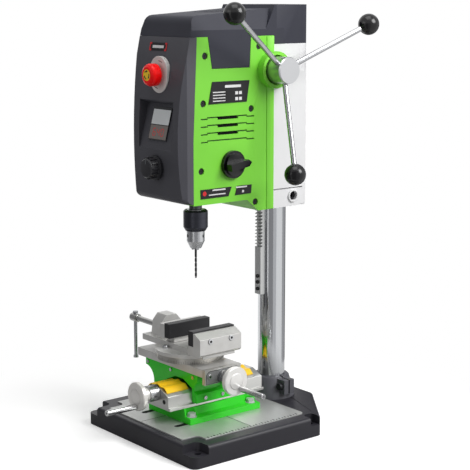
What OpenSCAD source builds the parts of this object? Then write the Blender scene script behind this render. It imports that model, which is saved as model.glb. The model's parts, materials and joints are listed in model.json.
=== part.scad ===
// Benchtop drill press with a cross-slide vise.
// Origin at the middle of the base footprint, on the surface it stands on.
// +X is the feed wheel's side, +Y the column's side, +Z up.

/* [Base] */
// Width of the base
base_w = 242; // [220:1:270]
// Depth of the base
base_d = 278; // [260:1:310]
// Height of the base at its rim
base_h = 27; // [25:0.5:34]
// Width of the base's short back edge
base_back_w = 70; // [60:1:90]
// Depth of the two slanted back corners
base_slant_d = 64; // [50:1:75]
// Height of the stepped ledge round each mounting hole
ledge_h = 15.5; // [14:0.5:18]
// Diameter of the mounting holes
foot_hole_d = 8.5; // [6:0.5:11]
// Distance of the mounting holes from the side edges
foot_hole_in = 11.5; // [10:0.5:14]
// Thickness of the steel table plate
plate_t = 6.5; // [5:0.5:8]
// Height of the plate's face above the base rim
plate_proud = 1.5; // [0.5:0.5:3]
// Width of the base rim beside the plate
rim_side = 21; // [16:1:28]
// Width of the base rim in front of the plate
rim_front = 10; // [8:1:16]

/* [Column] */
// Diameter of the column
column_d = 38; // [34:0.5:42]
// Wall of the column tube
column_wall = 4; // [3:0.5:6]
// Height of the column's top end
column_top = 560; // [545:1:566]
// Distance from the column's axis to the back edge of the base
column_in = 48; // [44:1:54]
// Height of the collar that clamps the column
collar_h = 30; // [24:1:36]
// Radius of the collar at its foot
collar_foot_r = 33; // [30:0.5:37]
// Radius of the collar at its top
collar_top_r = 25; // [24:0.5:28]

/* [Feed] */
// Gear module of the rack and all gears
gear_m = 1.5; // [1.4:0.05:1.6]
// Teeth of the feed pinion
pinion_teeth = 32; // [30:1:33]
// Width of the rack
rack_w = 12; // [10:0.5:14]
// Thickness of the rack to the tips of its teeth
rack_t = 7.4; // [6.5:0.1:8.5]
// Lower end of the rack
rack_bottom = 175; // [165:1:185]
// Height where the rack's teeth start
rack_teeth_from = 240; // [235:1:250]
// Diameter of the feed shaft
feed_shaft_d = 16; // [13:0.5:18]
// Radius of the polished feed hub
hub_r = 17.5; // [16:0.5:19]
// Radius at which the ball knobs sit
spoke_reach = 131.6; // [115:0.5:140]
// Sideways splay of the spokes from root to knob
spoke_splay = 35; // [25:0.5:40]
// Diameter of the spokes
spoke_d = 7; // [5:0.5:9]
// Diameter of the ball knobs
knob_d = 28; // [22:0.5:32]
// Turn of the feed wheel at rest, degrees above the back direction
spoke_turn = 26; // [20:1:32]

/* [Head] */
// Height of the head casting's underside
head_z = 304; // [304:1:310]
// Width of the covers
head_w = 108; // [106:1:114]
// Wall of the plastic covers
cover_wall = 2.5; // [2:0.1:3]
// Distance from the column's axis to the spindle's axis
throat = 133; // [130:1:136]
// Distance from the spindle's axis to the bulged front face
nose_out = 64; // [61:1:67]
// Radius of the bulge of the front face, seen from the side
front_bulge_r = 560; // [480:10:900]
// Slant at the two front corners
front_chamfer = 6; // [4:0.5:9]
// Height of the covers below the top cover's seam
cover_h = 212; // [208:1:216]
// Height of the top cover at its back
top_h = 39.5; // [37:0.5:44]
// Fall of the top cover from back to front
top_fall = 13; // [8:0.5:16]
// Height of the slanted side strip of the top cover
bevel_h = 18; // [12:0.5:20]
// Width of the slanted side strip of the top cover
bevel_w = 12; // [8:0.5:16]
// Rounding where the front face turns into the top
brow_r = 11; // [8:0.5:14]
// Corner radius at the back of the head casting
casting_r = 27; // [25:0.5:30]
// Distance from the column's axis to the casting's back face
casting_back = 27.5; // [26:0.5:32]
// Height of the upper column block
upper_block_h = 38; // [36:0.5:42]
// Height of the lower column block
lower_block_h = 39; // [34:0.5:44]

/* [Spindle and motor] */
// Teeth of the spindle gear
spindle_teeth = 35; // [33:1:36]
// Teeth of the motor pinion
motor_teeth = 15; // [14:1:16]
// Diameter of the motor can
motor_d = 52; // [44:1:53]
// Length of the motor can
motor_len = 58; // [46:1:60]
// Bore of the spindle bearings
bearing_bore = 17; // [14:0.5:19]
// Outer diameter of the spindle bearings
bearing_d = 35; // [32:0.5:38]
// Diameter of the chuck's key sleeve
chuck_d = 32.7; // [31:0.1:35]
// Length of the chuck's key sleeve
sleeve_len = 28; // [26:0.5:31]
// Diameter of the chuck's body below the sleeve
chuck_body_d = 24; // [23:0.1:25]
// Diameter of the drill bit
bit_d = 3; // [2:0.1:3.4]
// Length of drill bit that stands out of the chuck
bit_out = 41.5; // [30:0.5:42]

/* [Controls] */
// Diameter of the emergency-stop button
estop_d = 28.5; // [24:0.5:32]
// Travel of the emergency-stop button
estop_travel = 3.5; // [2.5:0.5:5]
// Diameter of the speed knob's skirt
speed_knob_d = 33; // [29:0.5:37]
// Diameter of the selector knob
selector_d = 36; // [30:0.5:38]
// Width of the display glass
display_w = 38.5; // [32:0.5:40]

/* [Cross slide] */
// Width of the slide's green base
slide_base_w = 94; // [88:1:100]
// Length of the slide's green base
slide_base_l = 119; // [112:1:124]
// Height of the slide's green base
slide_base_h = 19; // [16:0.5:22]
// Length of the lower bed
bed_l = 160; // [152:1:168]
// Width of the lower bed
bed_w = 56; // [52:0.5:60]
// Height of the lower bed at its sides
bed_h = 19; // [17:0.5:21]
// Rise of the bed's sloped top to its middle
bed_roof = 8; // [6:0.5:9]
// Reach of the saddle's deck to the handwheel side
deck_right = 40; // [38:1:44]
// Reach of the saddle's deck to the other side
deck_left_out = 77; // [68:1:80]
// Length of the saddle along the lower bed
saddle_l = 58; // [50:1:60]
// Thickness of the saddle's deck
deck_t = 11; // [10:0.5:14]
// Length of the upper table
table_l = 147; // [140:1:152]
// Width of the upper table
table_w = 60; // [60:1:68]
// Thickness of the upper table
table_t = 11; // [10:0.5:13]
// Distance the table rests to the -X side of the base's middle
table_shift = 21.5; // [20:0.5:24]
// Diameter of the two lead screws
lead_d = 10; // [8:0.5:11]
// Diameter of the two handwheels
wheel_d = 38; // [30:0.5:40]
// Length of the handwheels' grips
grip_l = 46; // [36:1:52]
// Diameter of the handwheels' grips
grip_d = 8; // [6:0.5:10]

/* [Vise] */
// Radius of the graduated swivel base
swivel_r = 46; // [40:0.5:48]
// Height of the graduated swivel base
swivel_h = 8; // [6:0.5:10]
// Thickness of the vise bed
vise_bed_t = 12; // [10:0.5:14]
// Length of the jaws
jaw_l = 69; // [60:0.5:76]
// Height of the jaws above the vise bed
jaw_h = 26; // [23:0.5:30]
// Height of the black jaw plates
jaw_plate_h = 20; // [16:0.5:22]
// Thickness of the black jaw plates
jaw_plate_t = 11; // [8:0.5:12]
// Opening between the jaw plates
jaw_open = 42; // [38:0.5:44]
// Smallest gap left when the vise is closed
jaw_closed = 4; // [3:0.5:6]
// Diameter of the vise screw
vise_screw_d = 8; // [7:0.5:10]
// Diameter of the tommy bar
tommy_d = 5; // [4:0.5:6]
// Length of the tommy bar
tommy_l = 66; // [54:1:68]

/* [Hidden] */
$fn = 64;

// Clearances
run_gap = 0.06;
part_gap = 0.4;
eps = 0.01;
// Reach of cutters that pass right through
far = 900;

// Places of the main axes
column_y = base_d / 2 - column_in;
spindle_y = column_y - throat;
motor_y = spindle_y + gear_m * (spindle_teeth + motor_teeth) / 2;
column_r = column_d / 2;
flat_y = column_y - column_r + 1;
rack_tip_y = flat_y - rack_t;
pinion_r = gear_m * pinion_teeth / 2;
feed_y = rack_tip_y + gear_m - pinion_r;
feed_up = 184;
feed_z = head_z + feed_up;

// Levels of the head
cover_z = head_z + 16;
seam_z = cover_z + cover_h;
top_z = seam_z + top_h;
top_front_z = top_z - top_fall;
cap_z = seam_z - 11;
upper_block_z = cap_z - upper_block_h;
half_w = head_w / 2;
casting_half = half_w - 0.5;
front_y = spindle_y - nose_out;
chamfer_y = front_y + 10.5;
bulge_z = head_z + 96;
boundary_y = column_y - 44.5;
cover_front_y = front_y + 20.3;
cover_front_top_y = front_y + 26.4;
slope_low_y = boundary_y - 25.5;
slope_high_y = slope_low_y - 19;
notch_front_y = front_y + 50;
notch_back_y = front_y + 112;
notch_z = seam_z - 40;
wall_front_y = motor_y + motor_d / 2 + 2.5;
wall_back_y = wall_front_y + 6;
casting_y = column_y + casting_back;

// Levels of the spindle
sleeve_top_z = head_z + 1;
sleeve_z = sleeve_top_z - sleeve_len;
nose_z = sleeve_z - 23.4;
gear_z = head_z + 88;
gear_t = 10;
plate_z = gear_z + gear_t + 2;
housing_z = cover_z + 6;
housing_top = gear_z - 4;
bearing_t = 10;

// Levels of the cross slide
plate_top = base_h + plate_proud;
bed_z = plate_top + slide_base_h;
bed_side_z = bed_z + bed_h;
roof_z = bed_side_z + bed_roof;
tunnel_z = roof_z + 5.5;
saddle_z = tunnel_z + deck_t;
table_z = saddle_z + part_gap;
table_top = table_z + table_t;
lower_axis_z = bed_side_z + 0.5;
upper_axis_z = saddle_z - 2;
slide_y = spindle_y;
bed_y = spindle_y + 12;
table_x = -table_shift;
lead_r = lead_d / 2;
wheel_t = 6;
wheel_boss = 12;
boss_r = 9;
end_t = 6;

// Levels of the vise
swivel_x = -14;
vise_z = table_top + swivel_h + part_gap;
vise_bed_top = vise_z + vise_bed_t;
jaw_top = vise_bed_top + jaw_h;
fixed_x = swivel_x + 41.5;
movable_x = fixed_x - jaw_open;
jaw_body_t = 15;
vise_axis_z = vise_bed_top + 8;
block_t = 11;
block_left = movable_x - jaw_plate_t - block_t;
hump_x = block_left - 19.5;
hump_t = 22;
tommy_end_r = tommy_d / 2 + 1.2;
tommy_in = 6.5;
tommy_clear = 1;
table_left = table_x - table_l / 2;
table_right = table_x + table_l / 2;
// Distance from the swivel axis to the table's far corners, which the bar has to clear
table_corner_r = norm([table_left - swivel_x, table_w / 2]);
vise_screw_out = swivel_x - table_corner_r - (jaw_open - jaw_closed) - tommy_clear - tommy_in
  - tommy_end_r;

// Gear outlines
function inv_deg(a) = tan(a) * 180 / PI - a;
function flank(rho, r, half) = half + inv_deg(20) - inv_deg(acos(min(1, r * cos(20) / rho)));
function polar(rho, a) = [rho * cos(a), rho * sin(a)];
function tooth(r, half, c) = let (rb = r * cos(20), ro = r + 0.9 * gear_m, rr = r - 1.25 * gear_m,
    start = max(rb, rr), radii = [for (i = [0:4]) start + (ro - start) * i / 4])
  concat([polar(rr, c - flank(start, r, half))],
    [for (i = [0:4]) polar(radii[i], c - flank(radii[i], r, half))],
    [for (i = [4:-1:0]) polar(radii[i], c + flank(radii[i], r, half))],
    [polar(rr, c + flank(start, r, half))]);
function gear_points(teeth, turn) = let (r = gear_m * teeth / 2, half = 90 / teeth - 4 / r)
  [for (k = [0:teeth - 1]) each tooth(r, half, turn + k * 360 / teeth)];

// Rounds the corners of an outline: each corner is an arc of radius r
function unit(v) = v / norm(v);
function corner(a, b, c, r) = let (u = unit(a - b), v = unit(c - b), bend = acos(u * v) / 2,
    m = b + unit(u + v) * r / sin(bend), s = m + (b + u * r / tan(bend) - m), from = s - m,
    sweep = (cross(b - a, c - b) > 0 ? 1 : -1) * (180 - 2 * bend))
  [for (i = [0:6]) let (t = sweep * i / 6)
    m + [from[0] * cos(t) - from[1] * sin(t), from[0] * sin(t) + from[1] * cos(t)]];
function rounded(p, r) = let (n = len(p))
  [for (i = [0:n - 1]) each corner(p[(i + n - 1) % n], p[i], p[(i + 1) % n], r)];

// Extrudes an outline of [y, z] points along X between two places
module along_x(x0, x1) translate([x0, 0, 0]) rotate([90, 0, 90]) linear_extrude(x1 - x0) children();
// Extrudes an outline of [x, z] points along Y between two places
module along_y(y0, y1) translate([0, y1, 0]) rotate([90, 0, 0]) linear_extrude(y1 - y0) children();
// A cylinder along X, Y or Z that starts at a place
module rod_x(p, r, l) translate(p) rotate([0, 90, 0]) cylinder(r = r, h = l);
module rod_y(p, r, l) translate(p) rotate([-90, 0, 0]) cylinder(r = r, h = l);
module rod_z(p, r, l) translate(p) cylinder(r = r, h = l);
// A box between two corners
module box(a, b) translate(a) cube(b - a);
// Both sides
module both() { children(); mirror([1, 0, 0]) children(); }

// Base
foot_x = base_w / 2 - foot_hole_in;
foot_set = 3.5;
foot_front_y = -base_d / 2 + foot_hole_in + foot_set;
slant_y = base_d / 2 - base_slant_d;
back_pocket_w = 17;
back_pocket_l = 16;
back_pocket_y = slant_y - back_pocket_l - 1;
foot_back_y = back_pocket_y + back_pocket_l / 2;
base_half = base_w / 2;
plate_half = base_half - rim_side;
plate_front_y = -base_d / 2 + rim_front;
plate_back_y = column_y - collar_foot_r + 6;
pocket_w = 23;
pocket_l = 24;
pocket_x = base_half - pocket_w;
pocket_y = -base_d / 2 + pocket_l;
pocket_round = 8;
back_pocket_round = 5;
notch_rim_x = 15;
notch_rim_y = 11;
notch_x = pocket_x - notch_rim_x;
notch_y = pocket_y + notch_rim_y;
socket_z = 5;
rib_t = 7;
rib_pad_r = 18;

function base_outline(g) = let (w = base_half - g, d = base_d / 2 - g, b = base_back_w / 2 - g * 0.4,
    s = slant_y - g * 0.4)
  [[-w, -d], [w, -d], [w, s], [b, d], [-b, d], [-w, s]];
function plate_outline(g) = let (w = plate_half + g, f = plate_front_y - g)
  [[-w, f], [w, f], [w, plate_back_y + g], [-w, plate_back_y + g]];
module foot_places() for (sx = [-1, 1], y = [foot_front_y, foot_back_y]) translate([sx * foot_x, y, 0])
  children();

// Room at both right and left corners, from x outwards and between two places along Y
module corner_room(x, y0, y1, r) both() linear_extrude(3 * base_h)
  polygon(rounded([[x, y0], [2 * base_half, y0], [2 * base_half, y1], [x, y1]], r));

module base_casting() color("#3A393E") difference() {
  linear_extrude(base_h) polygon(rounded(base_outline(0), 9));
  difference() {
    translate([0, 0, plate_top - plate_t]) linear_extrude(base_h)
      polygon(rounded(plate_outline(part_gap), 5));
    rod_z([0, column_y, 0], collar_foot_r, base_h);
    corner_room(notch_x, -base_d, notch_y, pocket_round);
  }
  translate([0, 0, ledge_h]) {
    corner_room(pocket_x, -base_d, pocket_y, pocket_round);
    corner_room(base_half - back_pocket_w, back_pocket_y, back_pocket_y + back_pocket_l, back_pocket_round);
  }
  foot_places() translate([0, 0, -1]) cylinder(d = foot_hole_d, h = base_h);
  difference() {
    translate([0, 0, -1]) linear_extrude(1 + ledge_h - 7) polygon(rounded(base_outline(9), 5));
    foot_places() translate([0, 0, -2]) cylinder(r = foot_hole_d / 2 + 7, h = base_h);
    rod_z([0, column_y, -2], collar_foot_r, base_h);
    rod_z([0, 0, -2], rib_pad_r, base_h);
    box([-base_half, -rib_t / 2, -2], [base_half, rib_t / 2, base_h]);
    box([-rib_t / 2, -base_d / 2, -2], [rib_t / 2, base_d / 2, base_h]);
  }
  rod_z([0, column_y, socket_z], column_r + run_gap, base_h);
}

slide_bolt_x = slide_base_w / 2 - 10;
slide_bolt_y = slide_base_l / 2 - 9.5;
slide_mid_y = slide_y + 13.5;
bolt_slot_w = 8.6;
line_w = 0.9;
module slide_bolt_places() for (sx = [-1, 1], sy = [-1, 1])
  translate([sx * slide_bolt_x, slide_mid_y + sy * slide_bolt_y, 0]) children();

module table_plate() color("#B9B9B6") difference() {
  translate([0, 0, plate_top - plate_t]) linear_extrude(plate_t) polygon(rounded(plate_outline(0), 5));
  corner_room(notch_x - part_gap, -base_d, notch_y + part_gap, pocket_round);
  for (sx = [-1, 1]) {
    box([sx * slide_bolt_x - bolt_slot_w / 2, slide_mid_y - slide_base_l / 2 - 14, 0],
        [sx * slide_bolt_x + bolt_slot_w / 2, slide_mid_y + slide_bolt_y + 6, base_h * 2]);
    rod_z([sx * slide_bolt_x, slide_mid_y - slide_base_l / 2 - 14, 0], bolt_slot_w / 2, base_h * 2);
  }
  rod_z([0, column_y, 0], collar_foot_r + part_gap, 2 * base_h);
  box([-plate_half - 1, slide_mid_y + 1, plate_top - 0.5],
    [plate_half + 1, slide_mid_y + 1 + line_w, base_h * 2]);
  box([-line_w / 2 - 8, plate_front_y - 1, plate_top - 0.5],
    [line_w / 2 - 8, plate_back_y + 1, base_h * 2]);
}

ear_out = collar_foot_r + 6;
ear_half = 9;
ear_z = base_h + 8;
collar_z = base_h + collar_h;
slit_w = 2.4;
collar_screw_r = 3;
collar_screw_x = collar_foot_r - 1;
collar_screw_z = base_h + 19;
module column_collar() color("#3A393E") difference() {
  union() {
    translate([0, column_y, 0]) rotate_extrude()
      polygon([[column_r + run_gap, base_h], [collar_foot_r, base_h],
      [collar_foot_r - 1, base_h + 5], [collar_top_r, collar_z - 1.5], [collar_top_r - 1.5, collar_z],
      [column_r + run_gap, collar_z]]);
    difference() {
      box([column_r, column_y - ear_half, ear_z], [ear_out, column_y + ear_half, collar_z - 2]);
      rod_z([0, column_y, 0], column_r + run_gap, column_top);
    }
  }
  box([column_r - 2, column_y - slit_w / 2, ear_z - 2], [ear_out + 1, column_y + slit_w / 2, collar_z + 1]);
  rod_y([collar_screw_x, column_y - collar_foot_r, collar_screw_z], collar_screw_r + 0.1,
    2 * collar_foot_r);
}
module collar_screw() color("#8E8E8E") {
  rod_y([collar_screw_x, column_y - ear_half - 5, collar_screw_z], 5, 5);
  rod_y([collar_screw_x, column_y - ear_half, collar_screw_z], collar_screw_r, 2 * ear_half + 4);
}

// Column and rack
rack_top = feed_z + 15;
module column() color("#D8DADC") difference() {
  rod_z([0, column_y, socket_z], column_r, column_top - socket_z);
  rod_z([0, column_y, socket_z - 1], column_r - column_wall, column_top);
  box([-column_r, flat_y - column_r, rack_bottom], [column_r, flat_y, column_top + 1]);
}

rack_pitch = PI * gear_m;
rack_root_y = rack_tip_y + 2.25 * gear_m;
rack_land = gear_m * 0.62;
rack_foot = gear_m * 2.2;
rack_first = ceil((rack_teeth_from - feed_z) / rack_pitch);
rack_last = floor((rack_top - feed_z) / rack_pitch) - 1;
module rack() color("#55565A") along_x(-rack_w / 2, rack_w / 2) polygon(concat(
  [[flat_y, rack_bottom], [rack_tip_y, rack_bottom],
    [rack_tip_y, feed_z + rack_first * rack_pitch - rack_pitch / 4],
   [rack_root_y, feed_z + rack_first * rack_pitch - rack_pitch / 6]],
  [for (k = [rack_first:rack_last - 1]) let (c = feed_z + (k + 0.5) * rack_pitch) each
    [[rack_root_y, c - rack_foot / 2], [rack_tip_y, c - rack_land / 2], [rack_tip_y, c + rack_land / 2],
     [rack_root_y, c + rack_foot / 2]]],
  [[rack_root_y, rack_top], [flat_y, rack_top]]));
rack_screw_z = [rack_bottom + 7.5, rack_bottom + 17, rack_bottom + 25.5];
module rack_screws() color("#9A9CA0") for (z = rack_screw_z) rod_y([0, rack_tip_y - 1.6, z], 2.6, 1.6);

// Head casting
bore_r = column_r + run_gap;
pocket_z = pinion_r + gear_m + 0.8;
lock_y = column_y - column_r / 2;
lock_z = head_z + 14;
lock_r = 4;
lock_head_r = 6.5;
lock_seat_x = casting_half - 10;
slit_z = head_z + 24;
module casting_plan(g) {
  translate([-casting_half + g, boundary_y + eps])
    square([2 * (casting_half - g), casting_y - casting_r - boundary_y - eps]);
  translate([-casting_half + casting_r, boundary_y + 1])
    square([2 * (casting_half - casting_r), casting_y - boundary_y - 1 - g]);
  for (sx = [-1, 1]) translate([sx * (casting_half - casting_r), casting_y - casting_r])
    circle(r = casting_r - g);
}
module head_casting() color("#D8D8D8") difference() {
  union() {
    translate([0, 0, head_z]) linear_extrude(lower_block_h) casting_plan(0);
    translate([0, 0, upper_block_z]) linear_extrude(upper_block_h) casting_plan(0);
    both() box([casting_half - 10, boundary_y + eps, head_z + 2],
      [casting_half, column_y + 13, upper_block_z + 2]);
    box([-half_w + 6, wall_front_y, cover_z - 8], [half_w - 6, wall_back_y, seam_z - 12]);
    both() box([half_w - 14, wall_back_y - 1, cover_z - 8], [half_w - 6, boundary_y + 1, seam_z - 12]);
    box([-half_w + 6, wall_back_y - 1, cover_z - 8], [half_w - 6, boundary_y + 1, head_z + lower_block_h]);
    box([-half_w + 6, wall_back_y - 1, upper_block_z], [half_w - 6, boundary_y + 1, seam_z - 12]);
  }
  rod_z([0, column_y, 0], bore_r, far);
  box([-rack_w / 2 - part_gap, rack_tip_y - part_gap, 0], [rack_w / 2 + part_gap, column_y, far]);
  rod_x([-head_w, feed_y, feed_z], feed_shaft_d / 2 + run_gap, 2 * head_w);
  rod_x([-pinion_x - 1, feed_y, feed_z], pocket_z, 2 * pinion_x + 2);
  box([-pinion_x - 1, feed_y, feed_z - pocket_z], [pinion_x + 1, rack_tip_y + 1, feed_z + pocket_z]);
  rod_x([lock_seat_x, lock_y, lock_z], lock_head_r + 0.4, head_w);
  rod_x([0, lock_y, lock_z], lock_r + 0.1, head_w);
  translate([0, 0, slit_z]) linear_extrude(1.6) difference() {
    casting_plan(-1);
    casting_plan(4);
    translate([-head_w, 0]) square([2 * head_w, boundary_y + 1]);
  }
}
lock_tip_x = sqrt(pow(column_r, 2) - pow(column_r / 2, 2)) + 0.5;
module head_lock_screw() color("#3C3C40") difference() {
  union() {
    rod_x([lock_seat_x, lock_y, lock_z], lock_head_r, 7);
    rod_x([lock_tip_x + 1.4, lock_y, lock_z], lock_r, lock_seat_x - lock_tip_x - 1.4);
  }
  translate([lock_seat_x + 3, lock_y, lock_z]) rotate([0, 90, 0]) cylinder(r = 3.4, h = 9, $fn = 6);
}

// Covers of the head
function front_at(z, g) = front_y + g + front_bulge_r - sqrt(pow(front_bulge_r, 2) - pow(z - bulge_z, 2));
screw_places = [[front_y + 39, seam_z - 23.5], [front_y + 36, seam_z - 83], [front_y + 114.5, seam_z - 93],
  [front_y + 32.6, cover_z + 43.5], [front_y + 121.7, cover_z - 3.8], [front_y + 127, seam_z - 13]];
vent_y = [front_y + 59, front_y + 92.5];
vent_z = cover_z + 88;
vent_pitch = 9.8;
vent_h = 4.2;
groove_h = 1.7;
screw_pit_r = 4.5;
groove_in = 1.9;
groove_step = 1.6;
boss_od = 2 * hub_r + 13;
boss_out = half_w + 11;
selector_y = front_y + 82.4;
selector_z = cover_z + 49;
hub_hole_r = hub_r + 2;
module cover_side() polygon([[cover_front_y, cover_z], [slope_high_y, cover_z], [slope_low_y, head_z],
  [boundary_y, head_z], [boundary_y, seam_z], [notch_back_y + 2, seam_z], [notch_back_y, notch_z],
  [notch_front_y, notch_z], [notch_front_y - 6.5, seam_z], [cover_front_top_y, seam_z],
    [cover_front_y, bulge_z]]);
module cover_floor() polygon([[cover_front_y, cover_z], [slope_high_y, cover_z], [slope_low_y, head_z],
  [boundary_y, head_z], [boundary_y, head_z + cover_wall], [slope_low_y + 1, head_z + cover_wall],
  [slope_high_y + 1, cover_z + cover_wall], [cover_front_y, cover_z + cover_wall]]);
module cover_shell() difference() {
  union() {
    along_x(half_w - cover_wall, half_w) cover_side();
    along_x(0.1, half_w - cover_wall + eps) cover_floor();
    for (p = screw_places) rod_x([half_w - cover_wall - 3, p[0], p[1]], screw_pit_r + 1.6, 3 + eps);
  }
  for (p = screw_places) {
    rod_x([half_w - 3.4, p[0], p[1]], screw_pit_r, 9);
    rod_x([half_w - 12, p[0], p[1]], 2, 12);
  }
  for (k = [0:2]) box([half_w - 9, vent_y[0], vent_z + k * vent_pitch],
    [half_w + 1, vent_y[1], vent_z + k * vent_pitch + vent_h]);
  for (k = [0:3]) translate([0, 0, vent_z + vent_h + (k - 1) * vent_pitch]) {
    box([half_w - groove_in, vent_y[0] - 17, -groove_h], [half_w + 1, vent_y[1] + 15, 0]);
    box([half_w - groove_in, vent_y[0] - 27, -groove_h - groove_step],
      [half_w + 1, vent_y[0] - 16, -groove_step]);
    box([half_w - groove_in, vent_y[1] + 14, -groove_h - groove_step],
      [half_w + 1, vent_y[1] + 27, -groove_step]);
  }
  rod_z([0, spindle_y, 0], bearing_d / 2 + 7, cover_z + 20);
}
strip_t = 0.8;
module right_cover() color("#6FDB3C") difference() {
  union() {
    cover_shell();
    box([half_w - eps, boundary_y - 12, head_z + 0.5], [half_w + strip_t, boundary_y, seam_z - 0.5]);
    difference() {
      rod_x([half_w, feed_y, feed_z], boss_od / 2, boss_out - half_w);
      rod_x([half_w + 3, feed_y, feed_z], hub_hole_r, far);
    }
  }
  rod_x([0, feed_y, feed_z], feed_shaft_d / 2 + 0.5, head_w);
  rod_x([0, selector_y, selector_z], selector_shaft_r + run_gap, head_w);
}
module left_cover() color("#6FDB3C") mirror([1, 0, 0]) cover_shell();

// Outer solid of the dark shell, drawn in by g, from the front face to the back
brow_z = top_front_z - brow_r;
module shell_solid(g) intersection() {
  along_x(-half_w + g, half_w - g) polygon(concat(
    [for (i = [0:12]) let (z = cover_z + 2 + (brow_z - cover_z - 2) * i / 12) [front_at(z, g), z]],
    [for (t = [22.5:22.5:90]) [front_at(brow_z, g) + brow_r * (1 - cos(t)), brow_z + (brow_r - g) * sin(t)]],
    [[casting_y, top_z - g], [casting_y, cover_z + 2]]));
  translate([0, 0, cover_z]) linear_extrude(top_z - cover_z + 1) polygon([
    [-half_w + g, casting_y + 1], [-half_w + g, chamfer_y],
      [-half_w + front_chamfer + g * 0.6, front_y + g],
    [half_w - front_chamfer - g * 0.6, front_y + g], [half_w - g, chamfer_y], [half_w - g, casting_y + 1]]);
}
module front_cut() polygon([[cover_front_y, 0], [cover_front_y, bulge_z], [cover_front_top_y, seam_z],
  [cover_front_top_y, far], [-far, far], [-far, 0]]);

estop_x = 4;
estop_up = 180.6;
estop_z = head_z + estop_up;
estop_seat_y = front_at(estop_z, 0) + 2.6;
estop_plate_h = estop_d + 18;
estop_plate_w = estop_d + 8;
speed_x = 0;
speed_z = head_z + 62;
speed_seat_y = front_at(speed_z, 0) + 1;
display_x = 0;
display_z = head_z + 117;
recess_half = display_w / 2 + 17;
recess_low = display_z - 31;
recess_high = display_z + 32;
recess_deep = 13.5;
display_low = 11;
display_high = 54;
module recess_wedge() along_x(display_x - recess_half, display_x + recess_half) polygon([
  [front_y - 9, recess_low - 3], [front_at(recess_low, 1), recess_low],
    [front_at(recess_high, recess_deep), recess_high - 6],
  [front_y - 9, recess_high + 3]]);
module front_panel() color("#3B3A40") difference() {
  union() {
    intersection() {
      difference() {
        shell_solid(0);
        shell_solid(cover_wall);
      }
      along_x(-half_w - 1, half_w + 1) front_cut();
      box([-far, -far, 0], [far, far, seam_z - 0.2]);
    }
    intersection() {
      shell_solid(cover_wall - eps);
      box([display_x - recess_half - cover_wall, -far, recess_low - 4],
          [display_x + recess_half + cover_wall, cover_front_y - 0.2, recess_high + 5]);
    }
    intersection() {
      shell_solid(cover_wall - eps);
      box([-half_w, front_y, cover_z], [half_w, cover_front_y - 0.2, cover_z + 2 + cover_wall]);
    }
  }
  recess_wedge();
  along_y(-far, estop_seat_y) estop_outline(part_gap / 4);
  rod_y([estop_x, estop_seat_y - 9, estop_z], estop_body_r + 0.2, 60);
  rod_y([speed_x, front_y - 9, speed_z], speed_shaft_r + run_gap, 60);
}
module estop_outline(g) translate([estop_x, estop_z]) {
  for (s = [-1, 1]) translate([0, s * (estop_plate_h - estop_plate_w) / 2])
    circle(d = estop_plate_w + 2 * g);
  translate([-estop_plate_w / 2 - g, -(estop_plate_h - estop_plate_w) / 2])
    square([estop_plate_w + 2 * g, estop_plate_h - estop_plate_w]);
}

bevel_end_y = column_y - 46;
block_front_y = bevel_end_y - 12;
block_lean = 15;
module top_profile(g) polygon([[-half_w + g, 0], [half_w - g, 0], [half_w - g, top_front_z - bevel_h - g],
  [half_w - bevel_w - g * 0.8, top_z + 5], [-half_w + bevel_w + g * 0.8, top_z + 5],
    [-half_w + g, top_front_z - bevel_h - g]]);
module top_solid(g) {
  intersection() {
    shell_solid(g);
    along_y(front_y, bevel_end_y + 30) top_profile(g);
    box([-far, -far, seam_z - 20 - g * 9], [far, bevel_end_y + 20, far]);
  }
  intersection() {
    translate([0, 0, seam_z - 30]) linear_extrude(top_h + 40) {
      casting_plan(g);
      translate([-half_w + g, block_front_y - 1]) square([head_w - 2 * g, boundary_y - block_front_y + 6]);
    }
    along_x(-half_w, half_w) polygon([[block_front_y + g, top_front_z - bevel_h],
      [block_front_y + block_lean + g, top_z - g], [casting_y + 1, top_z - g], [casting_y + 1, cap_z - g],
      [boundary_y, cap_z - g], [boundary_y, seam_z - 5], [block_front_y + g, seam_z - 5]]);
  }
}
column_hole_r = column_r + 3;
top_slots = 5;
module top_cover() color("#4D4D55") difference() {
  union() {
    difference() {
      top_solid(0);
      top_solid(cover_wall);
      box([-far, -far, 0], [far, boundary_y, seam_z]);
      box([-far, -far, 0], [far, far, cap_z]);
    }
    both() along_x(half_w - cover_wall, half_w)
      polygon([[notch_front_y - 6.1, seam_z + eps], [notch_front_y + part_gap, notch_z + part_gap],
      [notch_back_y - part_gap, notch_z + part_gap], [notch_back_y + 1.6, seam_z + eps]]);
  }
  rod_z([0, column_y, 0], column_hole_r, top_z + 50);
  for (k = [0:top_slots - 1]) box([-26, motor_y - 22 + 10 * k, top_front_z - 12],
    [26, motor_y - 18 + 10 * k, top_z + 9]);
}

module cover_screws() color("#2A2A2C") both() for (p = screw_places) difference() {
  union() {
    rod_x([half_w - 3.4, p[0], p[1]], screw_pit_r - 0.3, 1.6);
    rod_x([half_w - 11, p[0], p[1]], 1.9, 11 - 3.4 + eps);
  }
  rod_x([half_w - 2.5, p[0], p[1]], 1.3, 5);
}

label_t = 0.8;
plate_outlines = [
  [[front_y + 43.8, seam_z - 84.3], [front_y + 106.5, seam_z - 83.5], [front_y + 111, seam_z - 56],
    [front_y + 50, seam_z - 56]],
  [[front_y + 31, cover_z + 8], [front_y + 76.2, cover_z + 8], [front_y + 81.5, cover_z + 20],
    [front_y + 30.7, cover_z + 20]],
  [[front_y + 87, cover_z + 8], [front_y + 114, cover_z + 8.5], [front_y + 115.2, cover_z + 20],
    [front_y + 90.7, cover_z + 20]]];
module label_plates() color("#202024") for (p = plate_outlines) along_x(half_w, half_w + label_t)
  polygon(p);

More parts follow.
